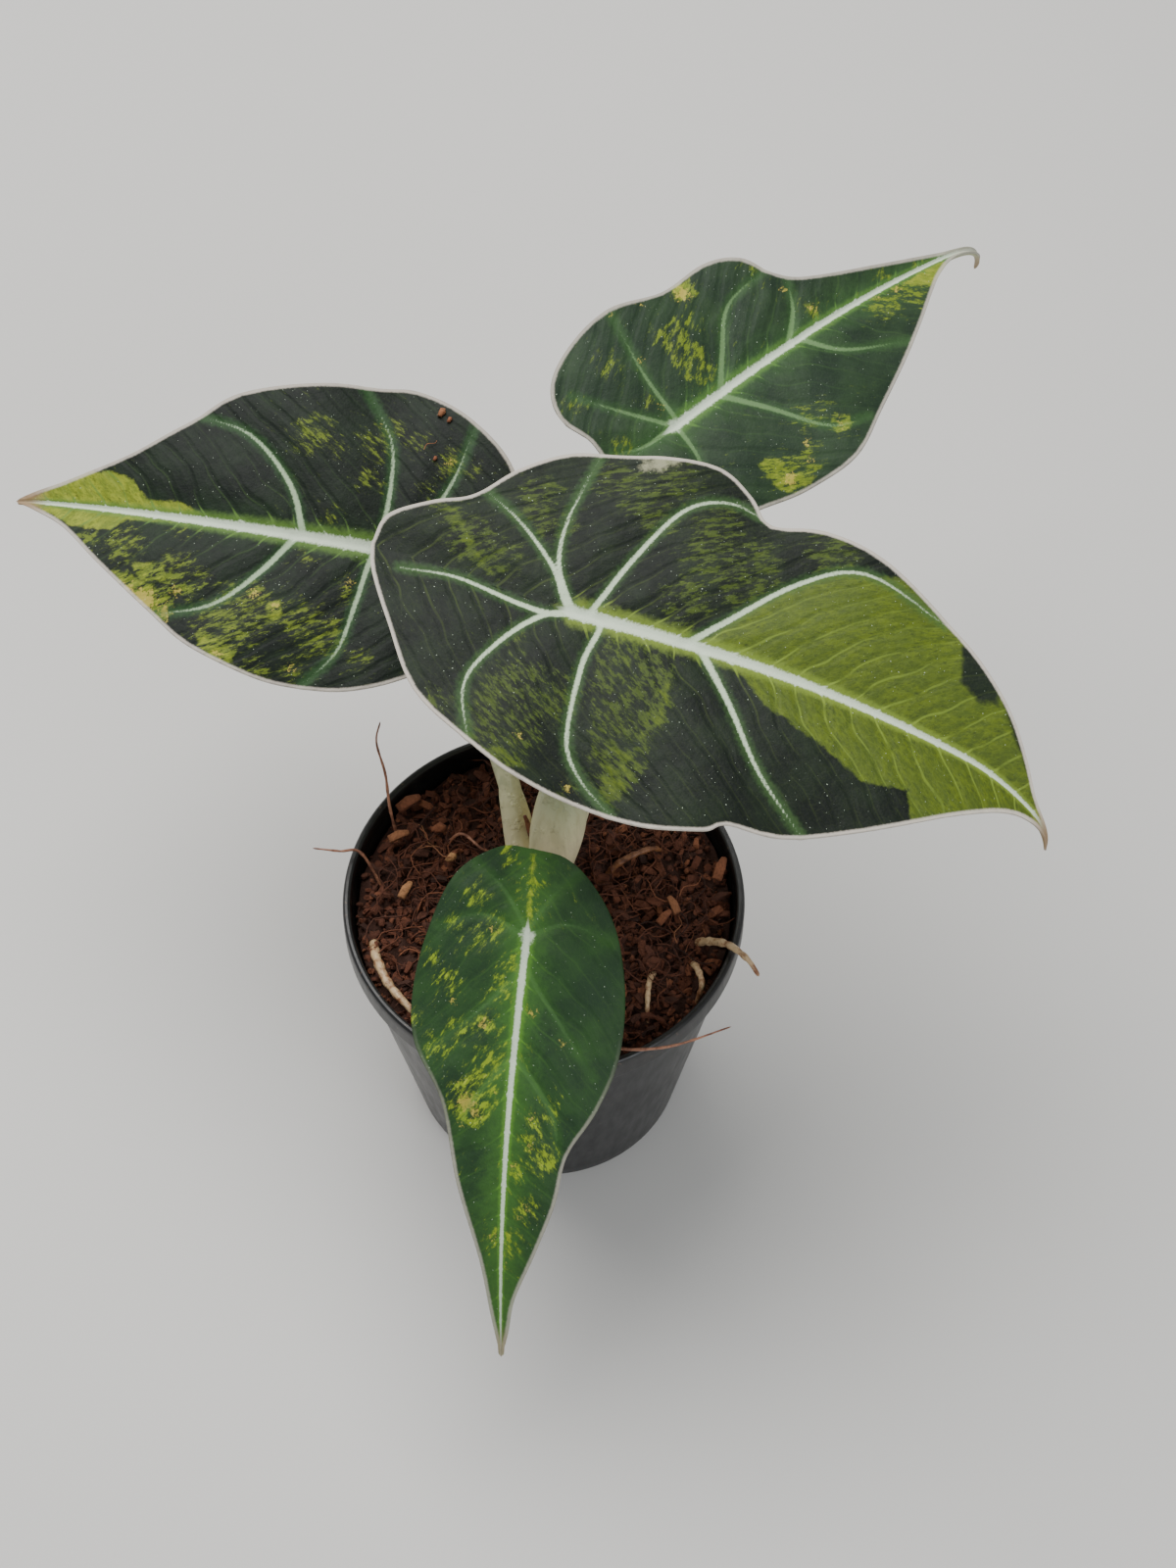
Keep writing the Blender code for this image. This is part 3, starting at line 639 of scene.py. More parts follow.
# %% Loops of pale and dark tissue
LOOPS = {
    "big": {
        "lime": [
            [(27, 0.5), (30, 7), (36, 14), (41, 20), (47, 25), (53, 27), (60, 29), (68, 34), (80, 26),
             (100, 12), (116, 0), (104, -6), (96, -10), (84, -18), (80, -19), (77, -13), (68, -15.5),
             (60, -12.5), (52, -10), (44, -8), (37, -3), (31, 0)]],
        "dark": [
            [(77, 21), (79, 14), (84, 11.5), (88, 13), (86, 19), (80, 24)],
            [(26, -2), (34, -3), (42, -12), (52, -13), (62, -16), (74, -17), (78, -22), (60, -38),
             (30, -44), (26, -34), (29, -20)],
            [(88, 15), (93, 9.5), (99, 5.5), (101, 7), (92, 15)]],
        "panel": [
            [(9, -2), (21, -3), (24, -7), (26, -12), (27, -18), (26, -24), (25, -34), (20, -38),
             (15, -30), (11, -20), (8, -10)]],
        "patch": [
            [(17, -29), (18, -27), (23, -27), (25, -29), (24.5, -33), (24, -37), (20, -37)],
            [(21, -7), (25, -10), (26, -19), (23, -23), (22.5, -17), (22, -11)],
            [(-35, 13), (-32, 13), (-23, 5), (-18, 2), (-24, 3), (-31, 9)],
            [(-6, -35), (-1, -37), (4, -36), (0, -33)]],
    },
    "left": {
        "lime": [
            [(84, 0), (78, -4.5), (72, -7.5), (65, -8.5), (60, -7), (56, -3), (48, -3.5), (44, -1.5),
             (46, 1), (60, 2), (63, 5), (72, 5), (80, 2)]],
        "dark": [
            [(20, 2), (40, 2), (42, 10), (30, 12), (24, 8)],
            [(28, -3), (54, -6), (56, -20), (38, -26), (32, -14)]],
        "panel": [
            [(44, 18), (50, 16), (58, 17), (55, 22), (46, 26)],
            [(28, 25), (34, 24), (38, 29), (30, 33)]],
        "patch": [
            [(61, 14.5), (57, 14), (47, 18.5), (46, 24), (54, 21)],
            [(39, 26), (36, 25), (31, 28), (29, 33), (35, 32)],
            [(56, 12), (49, 11), (48, 15), (54, 16)],
            [(25, 17), (22, 16), (21, 20), (24, 21)]],
    },
    "back": {
        "lime": [
            [(66, -1.5), (74, -0.5), (80, -0.5), (80, -3), (72, -5)]],
        "dark": [
            [(20, -3), (44, -4), (56, -10), (50, -18), (36, -14), (24, -8)]],
        "panel": [
            [(8, 5), (13, 4), (16, 10), (15, 20), (9, 19), (7, 10)],
            [(9, -22), (14, -20), (20, -22), (22, -27), (12, -28)]],
        "patch": [
            [(9, -18), (13, -19), (14, -23), (18, -28), (12, -28.5), (9, -24)],
            [(19, 26), (23, 25), (23, 21), (18, 22)],
            [(29, -20), (33, -21.5), (31, -24), (27, -22)]],
    },
    "front": {
        "lime": [],
        "dark": [
            [(3, 2), (20, 3), (30, 12), (42, 14), (26, 24), (8, 24), (-3, 16)]],
        "panel": [
            [(26, -3), (36, -2), (42, -6), (40, -12), (31, -13)]],
        "patch": [
            [(-2, 0.3), (-9, 0.5), (-17, 0.3), (-17, -0.4), (-9, -0.3), (-2, -0.3)]],
    },
}
print("loops:", {name: sum(map(len, marks.values())) for name, marks in LOOPS.items()})

# %% [markdown]
# Clusters of specks, golden spots and scars are rounder and smaller than the wedges. They could
# be loops too, but a circle of three numbers, (along, across, radius), says enough, because the
# noise in the finish breaks up its border anyway.

# %% Clusters, golden spots and scars
SPECKS = {
    "big": [(-33, 12, 4), (-26, 8, 6), (-19, 6, 5), (-16, 21, 6), (-11, 17, 5), (3, 29, 6), (-3, 31, 5),
        (9, 34, 6), (9, 25, 5), (23, 20, 8), (32, 16, 7), (21, 9, 6), (32, 23, 5), (17, -6, 7),
        (22, -13, 6), (21, -21, 6), (12, -7, 4), (-5, -22, 9), (-7, -30, 7), (0, -30, 5), (4, -20, 6),
        (-19, -29, 4), (13, -38, 3), (-9, -10, 3), (45, 29, 6), (21, 26, 6), (22, -31, 7)],
    "left": [(30, 20, 8), (12, 22, 6), (44, 14, 6), (22, -23, 5), (16, -21, 2), (8, -23, 4),
        (5, -27, 3), (-10, -21, 4), (-5, -15, 2), (15, -5, 2), (-1, -25, 3), (48, 15, 6), (36, 23, 5),
        (28, 15, 4), (23, 17, 3), (17, 19, 5), (17, 30, 3), (8, 11, 3), (33, 29, 4), (59, 8, 5),
        (46, 2, 3), (2, 26, 3), (26, 34, 5), (18, 5, 2), (-14, -22, 2), (8, -15, 3), (68, 8, 4)],
    "back": [(58, -4, 5), (66, -4, 5), (72, -2, 4), (12, 6, 4), (17, 17, 3), (43, 3, 3), (59, -2, 3),
        (63, 2, 2), (30, -22, 3), (24, -16, 3), (13, -24, 5), (21, -22, 2), (-4, 19, 3), (-16, 16, 2),
        (8, 18, 2), (21, 25, 4), (29, -17, 2), (-13, 2, 3), (-1, 8, 2), (37, 18, 2)],
    "front": [(-17, -5, 2), (-11, 0, 3), (-5, 1, 2), (-8, -11, 3), (-2, -16, 2), (-1, -7, 3),
        (6, -2, 3), (11, -4, 3), (1, -10, 3), (6, -19, 2), (11, -16, 3), (21, -12, 3), (19, -6, 3),
        (24, -16, 3), (28, -5, 4), (35, -9, 5), (25, -1, 3), (20, 9, 3), (16, 3, 2), (39, 6, 3),
        (44, 5, 3), (50, 2, 3), (58, 5, 3), (67, 1, 4), (65, -2, 2), (47, 8, 4), (16, 18, 3),
        (35, 9, 2), (19, -22, 2)],
}
GOLD = {
    "big": [(0, -30, 1.2), (13, -37, 1.2)],
    "left": [(-9, -22, 1.2), (54, -1, 1.3), (33, 30, 1.6), (17, 30, 1.3), (28, 15, 1.6), (23, 17, 1.3),
        (8, 9, 1.3), (52, 20, 3.4), (56, 18, 2), (47, 22, 2.2), (45, 17, 1.6), (8, -28, 1)],
    "back": [(20, 23, 2.3), (40, 11, 1.2), (43, 4, 1.4), (64, -2, 1.4), (58, -1, 1.5), (2, 16, 1.2),
        (30, -22, 1.5), (13, -25, 2), (0, 5, 1.1), (3, 28, 0.8), (10, 26, 0.8), (21, -21, 1.1),
        (19, -24, 1.1)],
    "front": [(-1, -7, 1.2), (15, -14, 1.2), (19, -7, 1.5), (36, -9, 2.5), (38, -7, 1.6),
        (41, -10, 0.8), (34, -3, 0.7), (16, 3, 1.3), (38, 5, 1), (44, 5, 1.1), (58, 5, 1.2), (60, 4, 1),
        (65, -2, 0.9), (49, 2, 1), (32, -11, 0.7), (22, 10, 1.2), (71, 1, 0.8)],
}
SCARS = {
    "big": [(2, 35.5, 1.7), (4.5, 37, 2.4), (1, 38.5, 2.2), (7, 38.5, 1.8)],
    "left": [],
    "back": [(-1, 0, 0.9)],
    "front": [(0, 0, 1.2)],
}
FAR = 60.0


def inside_by(along, across, loop):
    """How many mm each place lies inside a loop, negative outside it."""
    loop = np.array(loop, float)
    closed = np.vstack([loop, loop[:1]])
    away, _ = to_route(along, across, closed)
    inside = np.zeros(along.shape, bool)
    for start, end in zip(closed, closed[1:]):
        crosses = (start[1] > across) != (end[1] > across)
        level = np.where(end[1] == start[1], 1e-9, end[1] - start[1])
        inside ^= crosses & (along < start[0] + (across - start[1]) * (end[0] - start[0]) / level)
    return np.where(inside, away, -away)


def deepest(found, along):
    """The largest of several inside distances, or far outside where there is none."""
    return np.max(found + [np.full(along.shape, -FAR)], axis=0)


def in_spots(along, across, spots):
    return deepest([radius - np.hypot(along - x, across - y) for x, y, radius in spots], along)


print("clusters of specks:", {name: len(spots) for name, spots in SPECKS.items()})

# %% [markdown]
# ## Four blades
# A blade starts as a grid of 20 to 45 thousand faces. Its rows run from the notch to the tip
# and its columns from margin to margin, so the midrib is a straight line of the grid. After it
# is bent, a Solidify modifier gives it its thickness downwards. A vertex group makes that
# thicker under the midrib and veins, where the real leaf has round ribs, and thinner towards
# the margin.

# %% Blades with ribs underneath
ROW_CROWDING = 1.25  # above 1, the rows lie closer together behind the stalk
GRIDS = {"big": (256, 174), "left": (210, 164), "back": (220, 136), "front": (180, 110)}
BLADE = 0.8  # thickness between the veins
MARGIN_THICKNESS = 0.45
MARGIN_WIDTH = 3
RIB = 1.6  # how far the midrib stands out below
RIB_FADE = 0.6  # below 1, the rib stays stout for longer before it dies away
RIB_ROUNDNESS = 1.4  # the rib's half width below, in half widths of the midrib
VEIN_RIB = 0.5
THICKEST = 2.4


def blade_places(leaf, down, over):
    """Where on the leaf each vertex of the grid goes, as (along, across)."""
    edges = {1: evenly(smooth_path(leaf["left_edge"], 8), down),
             -1: evenly(smooth_path(leaf["right_edge"], 8), down)}
    middle = -leaf["behind"] + (leaf["ahead"] + leaf["behind"]) * down ** ROW_CROWDING
    out = 2 * over - 1
    reach = np.abs(out)
    along = middle + (np.where(out > 0, edges[1][:, 0], edges[-1][:, 0]) - middle) * reach
    across = np.where(out > 0, edges[1][:, 1], edges[-1][:, 1]) * reach
    return along, across


def to_margin(leaf, along, across):
    left, _ = to_route(along, across, smooth_path(leaf["left_edge"], 3))
    right, _ = to_route(along, across, smooth_path(leaf["right_edge"], 3))
    return np.minimum(left, right)


def make_blade(name):
    leaf = LEAVES[name]

    def rule(down, over):
        return blade_points(leaf, *blade_places(leaf, down, over))

    def facts(down, over):
        along, across = blade_places(leaf, down, over)
        nearest, line = vein_facts(leaf, along, across)
        found = {"along": along, "across": across, "vein": line, "near": nearest,
                 "rib": np.abs(across) / midrib_width(leaf, along),
                 "margin": to_margin(leaf, along, across),
                 "fine": along - 0.75 * np.abs(across) - 0.012 * across ** 2}
        for mark, loops in LOOPS[name].items():
            found[mark] = deepest([inside_by(along, across, loop) for loop in loops], along)
        for mark, spots in (("speck", SPECKS), ("gold", GOLD), ("scar", SCARS)):
            found[mark] = in_spots(along, across, spots[name])
        return found

    rows, columns = GRIDS[name]
    blade = bent_grid("leaf_" + name, rows, columns, rule, facts)
    add_thickness(blade, leaf)
    return blade


def read(piece, fact):
    values = np.empty(len(piece.data.vertices), np.float32)
    piece.data.attributes[fact].data.foreach_get("value", values)
    return values


def add_thickness(blade, leaf):
    """Solidify, thicker under the ribs by the weights of a vertex group."""
    along, rib, vein, margin = (read(blade, fact) for fact in ("along", "rib", "vein", "margin"))
    end = np.where(along > 0, leaf["ahead"], leaf["behind"])
    fade = np.maximum(0, 1 - np.abs(along) / end) ** RIB_FADE
    plate = MARGIN_THICKNESS + (BLADE - MARGIN_THICKNESS) * np.clip(margin / MARGIN_WIDTH, 0, 1)
    thickness = plate + RIB * fade * np.exp(-(rib / RIB_ROUNDNESS) ** 2) + VEIN_RIB * vein
    group = blade.vertex_groups.new(name="thickness")
    for index, weight in enumerate(np.clip(thickness / THICKEST, 0.01, 1).round(3).tolist()):
        group.add([index], weight, "REPLACE")
    for _ in ("upper", "lower"):
        blade.data.materials.append(None)
    only(blade)
    bpy.ops.object.modifier_add(type="SOLIDIFY")
    solidify = blade.modifiers[-1]
    solidify.thickness = THICKEST * MM
    solidify.offset = -1
    solidify.vertex_group = "thickness"
    solidify.material_offset = 1
    bpy.ops.object.modifier_apply(modifier=solidify.name)
    blade.vertex_groups.clear()


blades = {name: make_blade(name) for name in LEAVES}
for name, blade in blades.items():
    print(name, "blade:", len(blade.data.vertices), "vertices")

# %% [markdown]
# ## The velvet finish
# Seen close, this leaf is a charcoal green that seems to drink the light, because its skin is a
# carpet of tiny domes. Those are a fine bump, a fair roughness and a little sheen, which
# brightens a surface seen at a slant. Colour then goes on in layers, as on the real leaf: dark
# tissue, olive mottling, lime sector, paler fine veins, silver large veins and the thin pale
# rim. Most layers read one of the distances that the vertices carry, so no image has to be
# painted and one recipe serves all four leaves, each with its own paints and strengths.

# %% Paints, and the facts that the layers read
# Screen colours in the order of PAINTS, then how strong each layer is and where the rim begins.
PAINTS = ("dark", "mid", "speck", "lime", "glow", "halo", "vein")
TISSUE_TINTS = {
    "big": [(14, 22, 16), (27, 38, 25), (66, 82, 27), (88, 104, 25), (122, 144, 54),
            (66, 98, 52), (196, 214, 184)],
    "left": [(13, 21, 16), (23, 35, 23), (100, 116, 32), (142, 152, 46), (92, 126, 54),
             (54, 90, 48), (176, 200, 164)],
    "back": [(31, 47, 33), (43, 62, 40), (110, 128, 34), (144, 152, 52), (86, 126, 56),
             (64, 102, 52), (124, 158, 106)],
    "front": [(34, 57, 35), (44, 74, 37), (138, 160, 36), (176, 184, 70), (90, 138, 46),
              (68, 112, 44), (82, 122, 66)],
}
STRENGTHS = {
    "big": {"veins": 0.9, "net": 0.16, "rim": 0.9, "rim_from": -90, "flush": 0.0, "tip": 0.85},
    "left": {"veins": 0.75, "net": 0.16, "rim": 0.75, "rim_from": -90, "flush": 0.1, "tip": 0.85},
    "back": {"veins": 0.5, "net": 0.25, "rim": 0.65, "rim_from": -90, "flush": 0.35, "tip": 0.85},
    "front": {"veins": 0.3, "net": 0.25, "rim": 0.5, "rim_from": 15, "flush": 0.6, "tip": 0.45},
}
SILVER = tint(204, 218, 196)
RIM = tint(200, 192, 180)
TIP = tint(150, 122, 88)
GOLDEN = tint(182, 166, 74)
SCAR = tint(160, 160, 130)
FINE_VEIN_GAP = 6.4


class Velvet(Finish):
    """A leaf's finish under construction, with the facts of its vertices at hand."""

    def __init__(self, name):
        super().__init__("velvet_" + name, 0.6, Sheen_Weight=0.03, Sheen_Roughness=0.4,
                         Sheen_Tint=(0.80, 0.88, 0.80, 1), Specular_IOR_Level=0.18)
        self.tissue = {paint: tint(*rgb) for paint, rgb in zip(PAINTS, TISSUE_TINTS[name])}
        self.strength = STRENGTHS[name]
        self.along, self.across = self.attribute("along"), self.attribute("across")
        self.fine, self.rib = self.attribute("fine"), self.attribute("rib")
        self.spot = self.vector(self.along, self.across)
        self.streak = self.vector(self.times(self.fine, 0.50), self.times(self.across, 0.46))
        self.ragged = self.scaled(self.noise(self.spot, 0.42, 5, 0.7), 8.0, -4.0)
        self.grain = self.noise(self.streak, 1.0, 6, 0.75)

    def marked(self, fact, fray, soft):
        """1 inside the loops or spots of a mark and 0 outside, with a frayed border."""
        return self.mask(self.scaled(self.ragged, fray, self.attribute(fact)), -soft, soft)


print("paints for the leaves:", ", ".join(TISSUE_TINTS))

# %% [markdown]
# The ground of the leaf is cloudy dark tissue with a greener flush along the midrib. Olive specks
# lie in it, denser inside the clusters and panels, and solid in the small islands. The lime
# sector covers all that with its own shading. It could be one mask with a sharp border, but the
# real sector breaks up into specks at its edge, so the border is frayed with noise.

# %% Tissue, lime, gold and scars
def lay_tissue(skin):
    """The dark ground, the flush along the midrib, the specks and the islands."""
    tissue = skin.tissue
    cloud = skin.mask(skin.noise(skin.spot, 0.10, 3), 0.35, 0.7)
    skin.colour(skin.mix(cloud, tissue["dark"], tissue["mid"]))
    inward = skin.scaled(skin.ragged, 1.2, skin.sum("ABSOLUTE", skin.across))
    skin.lay(skin.mask(inward, 7.5, 0.5, skin.strength["flush"]), tissue["halo"])
    spread = skin.larger(skin.marked("speck", 0.8, 3.0), skin.marked("panel", 0.35, 1.0))
    calm = skin.sum("SUBTRACT", spread, skin.marked("dark", 0.3, 1.0))
    low = skin.scaled(calm, -0.16, 0.68)
    specks = skin.mask(skin.grain, low, skin.sum("ADD", low, 0.022), 0.85)
    skin.lay(skin.mask(skin.grain, skin.sum("ADD", low, -0.08), low, 0.28), tissue["speck"])
    skin.lay(specks, tissue["speck"])
    bright = skin.mask(skin.noise(skin.streak, 1.7, 4, 0.7), 0.58, 0.64, 0.7)
    skin.lay(skin.times(specks, bright), tissue["lime"])
    island = skin.times(skin.marked("patch", 0.4, 0.5), skin.mask(skin.grain, 0.41, 0.49))
    dense = skin.mix(skin.mask(skin.grain, 0.50, 0.62), tissue["speck"], tissue["lime"])
    skin.lay(skin.times(island, 0.9), dense)


def lay_lime(skin):
    """The lime sector, shaded and grainy. Returns where it is."""
    tissue = skin.tissue
    shaded = skin.mix(skin.mask(skin.grain, 0.40, 0.60, 0.85), tissue["lime"], tissue["speck"])
    crumbs = skin.mask(skin.noise(skin.streak, 2.3, 5, 0.8), 0.52, 0.64, 0.5)
    shaded = skin.mix(crumbs, shaded, tissue["mid"])
    deeper = skin.mask(skin.noise(skin.spot, 0.13, 3), 0.45, 0.62, 0.4)
    shaded = skin.mix(deeper, shaded, tissue["speck"])
    clear = skin.sum("SUBTRACT", 1.0, skin.marked("dark", 0.3, 0.7))
    in_lime = skin.times(skin.marked("lime", 0.32, 0.4), clear)
    skin.lay(in_lime, shaded)
    return in_lime


def lay_spots(skin):
    """Golden spots and pale scars, both with crumbly borders."""
    crumbly = skin.scaled(skin.noise(skin.spot, 1.1, 4, 0.75), 9.0, -5.2)
    gold = skin.attribute("gold")
    golden = skin.mask(skin.sum("ADD", gold, crumbly), 0.0, 0.7, 0.8)
    skin.lay(skin.times(golden, skin.mask(gold, -1.6, -0.4)), GOLDEN)
    scar = skin.scaled(crumbly, 0.45, skin.attribute("scar"))
    skin.lay(skin.mask(scar, -0.6, 1.2, 0.8), SCAR)


print("fine veins", FINE_VEIN_GAP, "mm apart")

# %% [markdown]
# Fine veins run side by side from the midrib to the margin, which a cosine across their spacing
# gives, and a net of cells fills the gaps. The large veins are silver with a green halo. The
# masks come from the same routes as the furrows in the mesh, so colour and relief always agree,
# which two separate drawings wouldn't.

# %% Veins, rim and tip
def lay_fine_veins(skin, in_lime):
    """Returns the fine veins, and the ripple that they are the crests of."""
    warped = skin.scaled(skin.noise(skin.spot, 0.055, 2), 9.0, skin.fine)
    ripple = skin.sum("COSINE", skin.times(warped, 2 * math.pi / FINE_VEIN_GAP))
    inner = skin.mask(skin.sum("ABSOLUTE", skin.across), 20, 1)
    fine_vein = skin.times(skin.mask(ripple, 0.93, 0.998), skin.scaled(inner, 0.6, 0.25))
    patchy = skin.mask(skin.noise(skin.spot, 0.16, 3), 0.30, 0.55)
    in_pale = skin.scaled(in_lime, 0.6, 0.16)
    skin.lay(skin.times(skin.times(fine_vein, patchy), in_pale), skin.tissue["glow"])
    fine_place = skin.stretch(skin.streak, (1.3, 1.3, 1))
    mesh = skin.cells(fine_place, 1.0, "DISTANCE_TO_EDGE", "Distance")
    net = skin.mask(mesh, 0.07, 0.0, skin.strength["net"])
    skin.lay(skin.times(net, in_pale), skin.tissue["glow"])
    return fine_vein, ripple


def lay_large_veins(skin, fine_vein, wander):
    """Midrib, large veins and the star at the stalk. Returns where they are silver."""
    veins = skin.strength["veins"]
    feather = skin.sum("ADD", skin.scaled(fine_vein, -1.1, skin.rib), -0.8)
    feather = skin.scaled(skin.noise(skin.spot, 0.9, 3, 0.7), 1.6, feather)
    ahead = skin.mask(skin.along, -6.0, 0.0)
    skin.lay(skin.times(skin.mask(feather, 2.8, 1.0, 0.8), ahead), skin.tissue["glow"])
    near = skin.scaled(skin.noise(skin.spot, 1.1, 3), 2.0, skin.attribute("near"))
    skin.lay(skin.mask(near, 3.2, 1.2, 0.6 * min(1.0, veins * 1.2)), skin.tissue["halo"])
    frayed = skin.scaled(fine_vein, -0.3, skin.scaled(wander, 1.6, skin.rib))
    midrib = skin.times(skin.mask(frayed, 1.15, 0.6, 0.95), skin.mask(skin.along, -4.5, -1.0))
    vein = skin.scaled(wander, 0.7, skin.attribute("vein"))
    pale_vein = skin.mask(vein, 0.60, 0.90, veins)
    squared = skin.scaled(skin.along, skin.along, skin.times(skin.across, skin.across))
    star = skin.mask(skin.scaled(skin.ragged, 2.0, squared), 4.0, 0.5, 0.8)
    middle = skin.larger(midrib, star)
    skin.lay(pale_vein, skin.tissue["vein"])
    skin.lay(middle, SILVER)
    return skin.larger(middle, pale_vein)


def lay_edges(skin, length, wander):
    """The pale rim, the dry tip and a few stray freckles."""
    start = skin.strength["rim_from"]
    uneven = skin.scaled(wander, 0.6, skin.attribute("margin"))
    rim = skin.mask(uneven, 1.0, 0.45, skin.strength["rim"])
    skin.lay(skin.times(rim, skin.mask(skin.along, start, start + 40)), RIM)
    skin.lay(skin.mask(skin.along, length - 10, length - 3, skin.strength["tip"]), TIP)
    skin.lay(skin.mask(skin.noise(skin.spot, 2.2, 1), 0.755, 0.775, 0.7), SILVER)


print("rims begin at", {name: strength["rim_from"] for name, strength in STRENGTHS.items()})

# %% [markdown]
# The layers now go on in their order, and the surface gets its relief: tiny domes everywhere,
# soft folds beside the fine veins and slow waves. The lower face has a paler recipe of its own.
# One could model the domes, but a leaf has far too many of them, so they are bump.

# %% Both faces of each blade
def velvet(name):
    skin = Velvet(name)
    lay_tissue(skin)
    in_lime = lay_lime(skin)
    lay_spots(skin)
    fine_vein, ripple = lay_fine_veins(skin, in_lime)
    wander = skin.scaled(skin.noise(skin.spot, 1.8, 3, 0.7), 0.7, -0.35)
    silver = lay_large_veins(skin, fine_vein, wander)
    lay_edges(skin, LEAVES[name]["ahead"], wander)
    gloss = skin.scaled(skin.noise(skin.spot, 0.7, 3), 0.16, 0.46)
    skin.roughness(skin.scaled(silver, -0.06, gloss))
    domes = skin.cells(skin.position(), 1900.0, output="Distance")
    beside = skin.times(skin.mask(ripple, -0.4, 1.0, -1.0), skin.mask(skin.rib, 1.0, 2.5))
    folds = skin.scaled(domes, -0.25, beside)
    skin.bump(skin.scaled(skin.noise(skin.spot, 0.4, 3), 1.6, folds), 0.00022, 0.5)
    return skin.material


def underside(name):
    """The lower face: paler, with its ribs in cream."""
    skin = Finish("underside_" + name, 0.55)
    along, ahead = skin.attribute("along"), LEAVES[name]["ahead"]
    spot = skin.vector(along, skin.attribute("across"))
    cloud = skin.mask(skin.noise(spot, 0.12, 4), 0.3, 0.7)
    skin.colour(skin.mix(cloud, tint(92, 104, 78), tint(112, 120, 88)))
    net = skin.mask(skin.cells(spot, 0.3, "DISTANCE_TO_EDGE", "Distance"), 0.12, 0.02, 0.3)
    skin.lay(net, tint(138, 146, 112))
    rib = skin.mask(skin.attribute("rib"), 2.0, 1.2, 0.9)
    vein = skin.mask(skin.attribute("vein"), 0.2, 0.6, 0.7)
    skin.lay(skin.larger(rib, vein), tint(170, 172, 132))
    skin.lay(skin.mask(along, ahead - 14, ahead - 3, 0.85), TIP)
    skin.roughness(skin.scaled(cloud, 0.12, 0.48))
    skin.bump(skin.noise(spot, 1.2, 3), 0.0002, 0.5)
    return skin.material


for name, blade in blades.items():
    blade.data.materials[0] = velvet(name)
    blade.data.materials[1] = underside(name)
    finished(blade, None, "velvet_blade", "blade_" + name)

# %% [markdown]
# ## Four stalks
# Each stalk is a juicy rod that leaves the crown with its neighbours, arches outwards and meets
# its blade from below. It is stoutest at the foot, slims on the way, and swells a little where
# the ribs of the leaf run together. A curve with a round bevel would do for an even rod, but a
# rolled grid can slim and swell by a rule. It follows the same route as the solid.

# %% Stalks
STALK_LEAD = 8
UNDER_BLADE = 1.3
STALK_WIDTHS = {"big": (2.9, 2.1), "left": (2.7, 2.0), "back": (2.7, 2.0), "front": (2.3, 1.7)}


def stalk_route(leaf):
    along, _, up = leaf_axes(leaf)
    foot = [np.array(point, float) for point in leaf["stalk"]]
    end = np.array(leaf["at"]) - up * UNDER_BLADE
    incoming = end - foot[-1]
    lead = up + incoming / np.linalg.norm(incoming)
    lead /= np.linalg.norm(lead)
    return foot + [end - lead * STALK_LEAD, end]


def make_stalk(name):
    foot_radius, top_radius = STALK_WIDTHS[name]

    def radius(share, angle):
        slim = foot_radius + (top_radius - foot_radius) * share ** 0.8
        swell = 0.35 * np.exp(-((1 - share) / 0.05) ** 2)
        knots = 0.05 * np.sin(share * 39) + 0.04 * np.sin(share * 23 + 1)
        return slim + swell + knots

    return tube("stalk_rod_" + name, stalk_route(LEAVES[name]), radius, 90, 28, 1.0)


def paint_by_height(skin, height):
    """The colour of the plant's flesh: cream in the coir, sage where the stalks spread."""
    low = skin.mask(height, 0.076, 0.094)
    skin.colour(skin.mix(low, tint(226, 214, 174), tint(204, 200, 158)))
    skin.lay(skin.mask(height, 0.088, 0.112), tint(160, 168, 130))


def stalk_finish():
    flesh = Finish("stalk_skin", 0.42, Coat_Weight=0.12, Coat_Roughness=0.35,
                   Subsurface_Weight=0.08, Subsurface_Radius=(0.004, 0.005, 0.002))
    position = flesh.position()
    streaks = flesh.noise(flesh.stretch(position, (1, 1, 0.12)), 700.0, 3)
    paint_by_height(flesh, flesh.part(position, "Z"))
    flesh.lay(flesh.mask(flesh.attribute("share"), 0.75, 1.0, 0.6), tint(176, 178, 150))
    flesh.lay(flesh.mask(streaks, 0.4, 0.7, 0.35), tint(124, 132, 96))
    flecks = flesh.noise(flesh.stretch(position, (1, 1, 0.4)), 1500.0, 2)
    flesh.lay(flesh.mask(flecks, 0.62, 0.7, 0.5), tint(98, 86, 62))
    flesh.roughness(flesh.scaled(streaks, 0.2, 0.34))
    flesh.bump(streaks, 0.0003, 0.6)
    return flesh.material


stalk_skin = stalk_finish()
for name in LEAVES:
    finished(make_stalk(name), stalk_skin, "stalk_flesh", "stalk_" + name)

# %% [markdown]
# ## The crown and its sheaths
# The foot of every stalk widens into a sheath that wraps the next one, like the base of a
# celery stick. A short knob of stem hides in the coir. On it stand a broad cream sheath round
# the big stalk and a slimmer one round each of the others, with the dried tip of an older one
# between them. Each is a rolled grid, wide at the foot and drawn in where its stalk comes out.
# Sculpting would do too, but a rule for the width is easier to repeat and to change.

# %% Knob and sheaths
CROWN_PLACE = (0.5, 6.0)
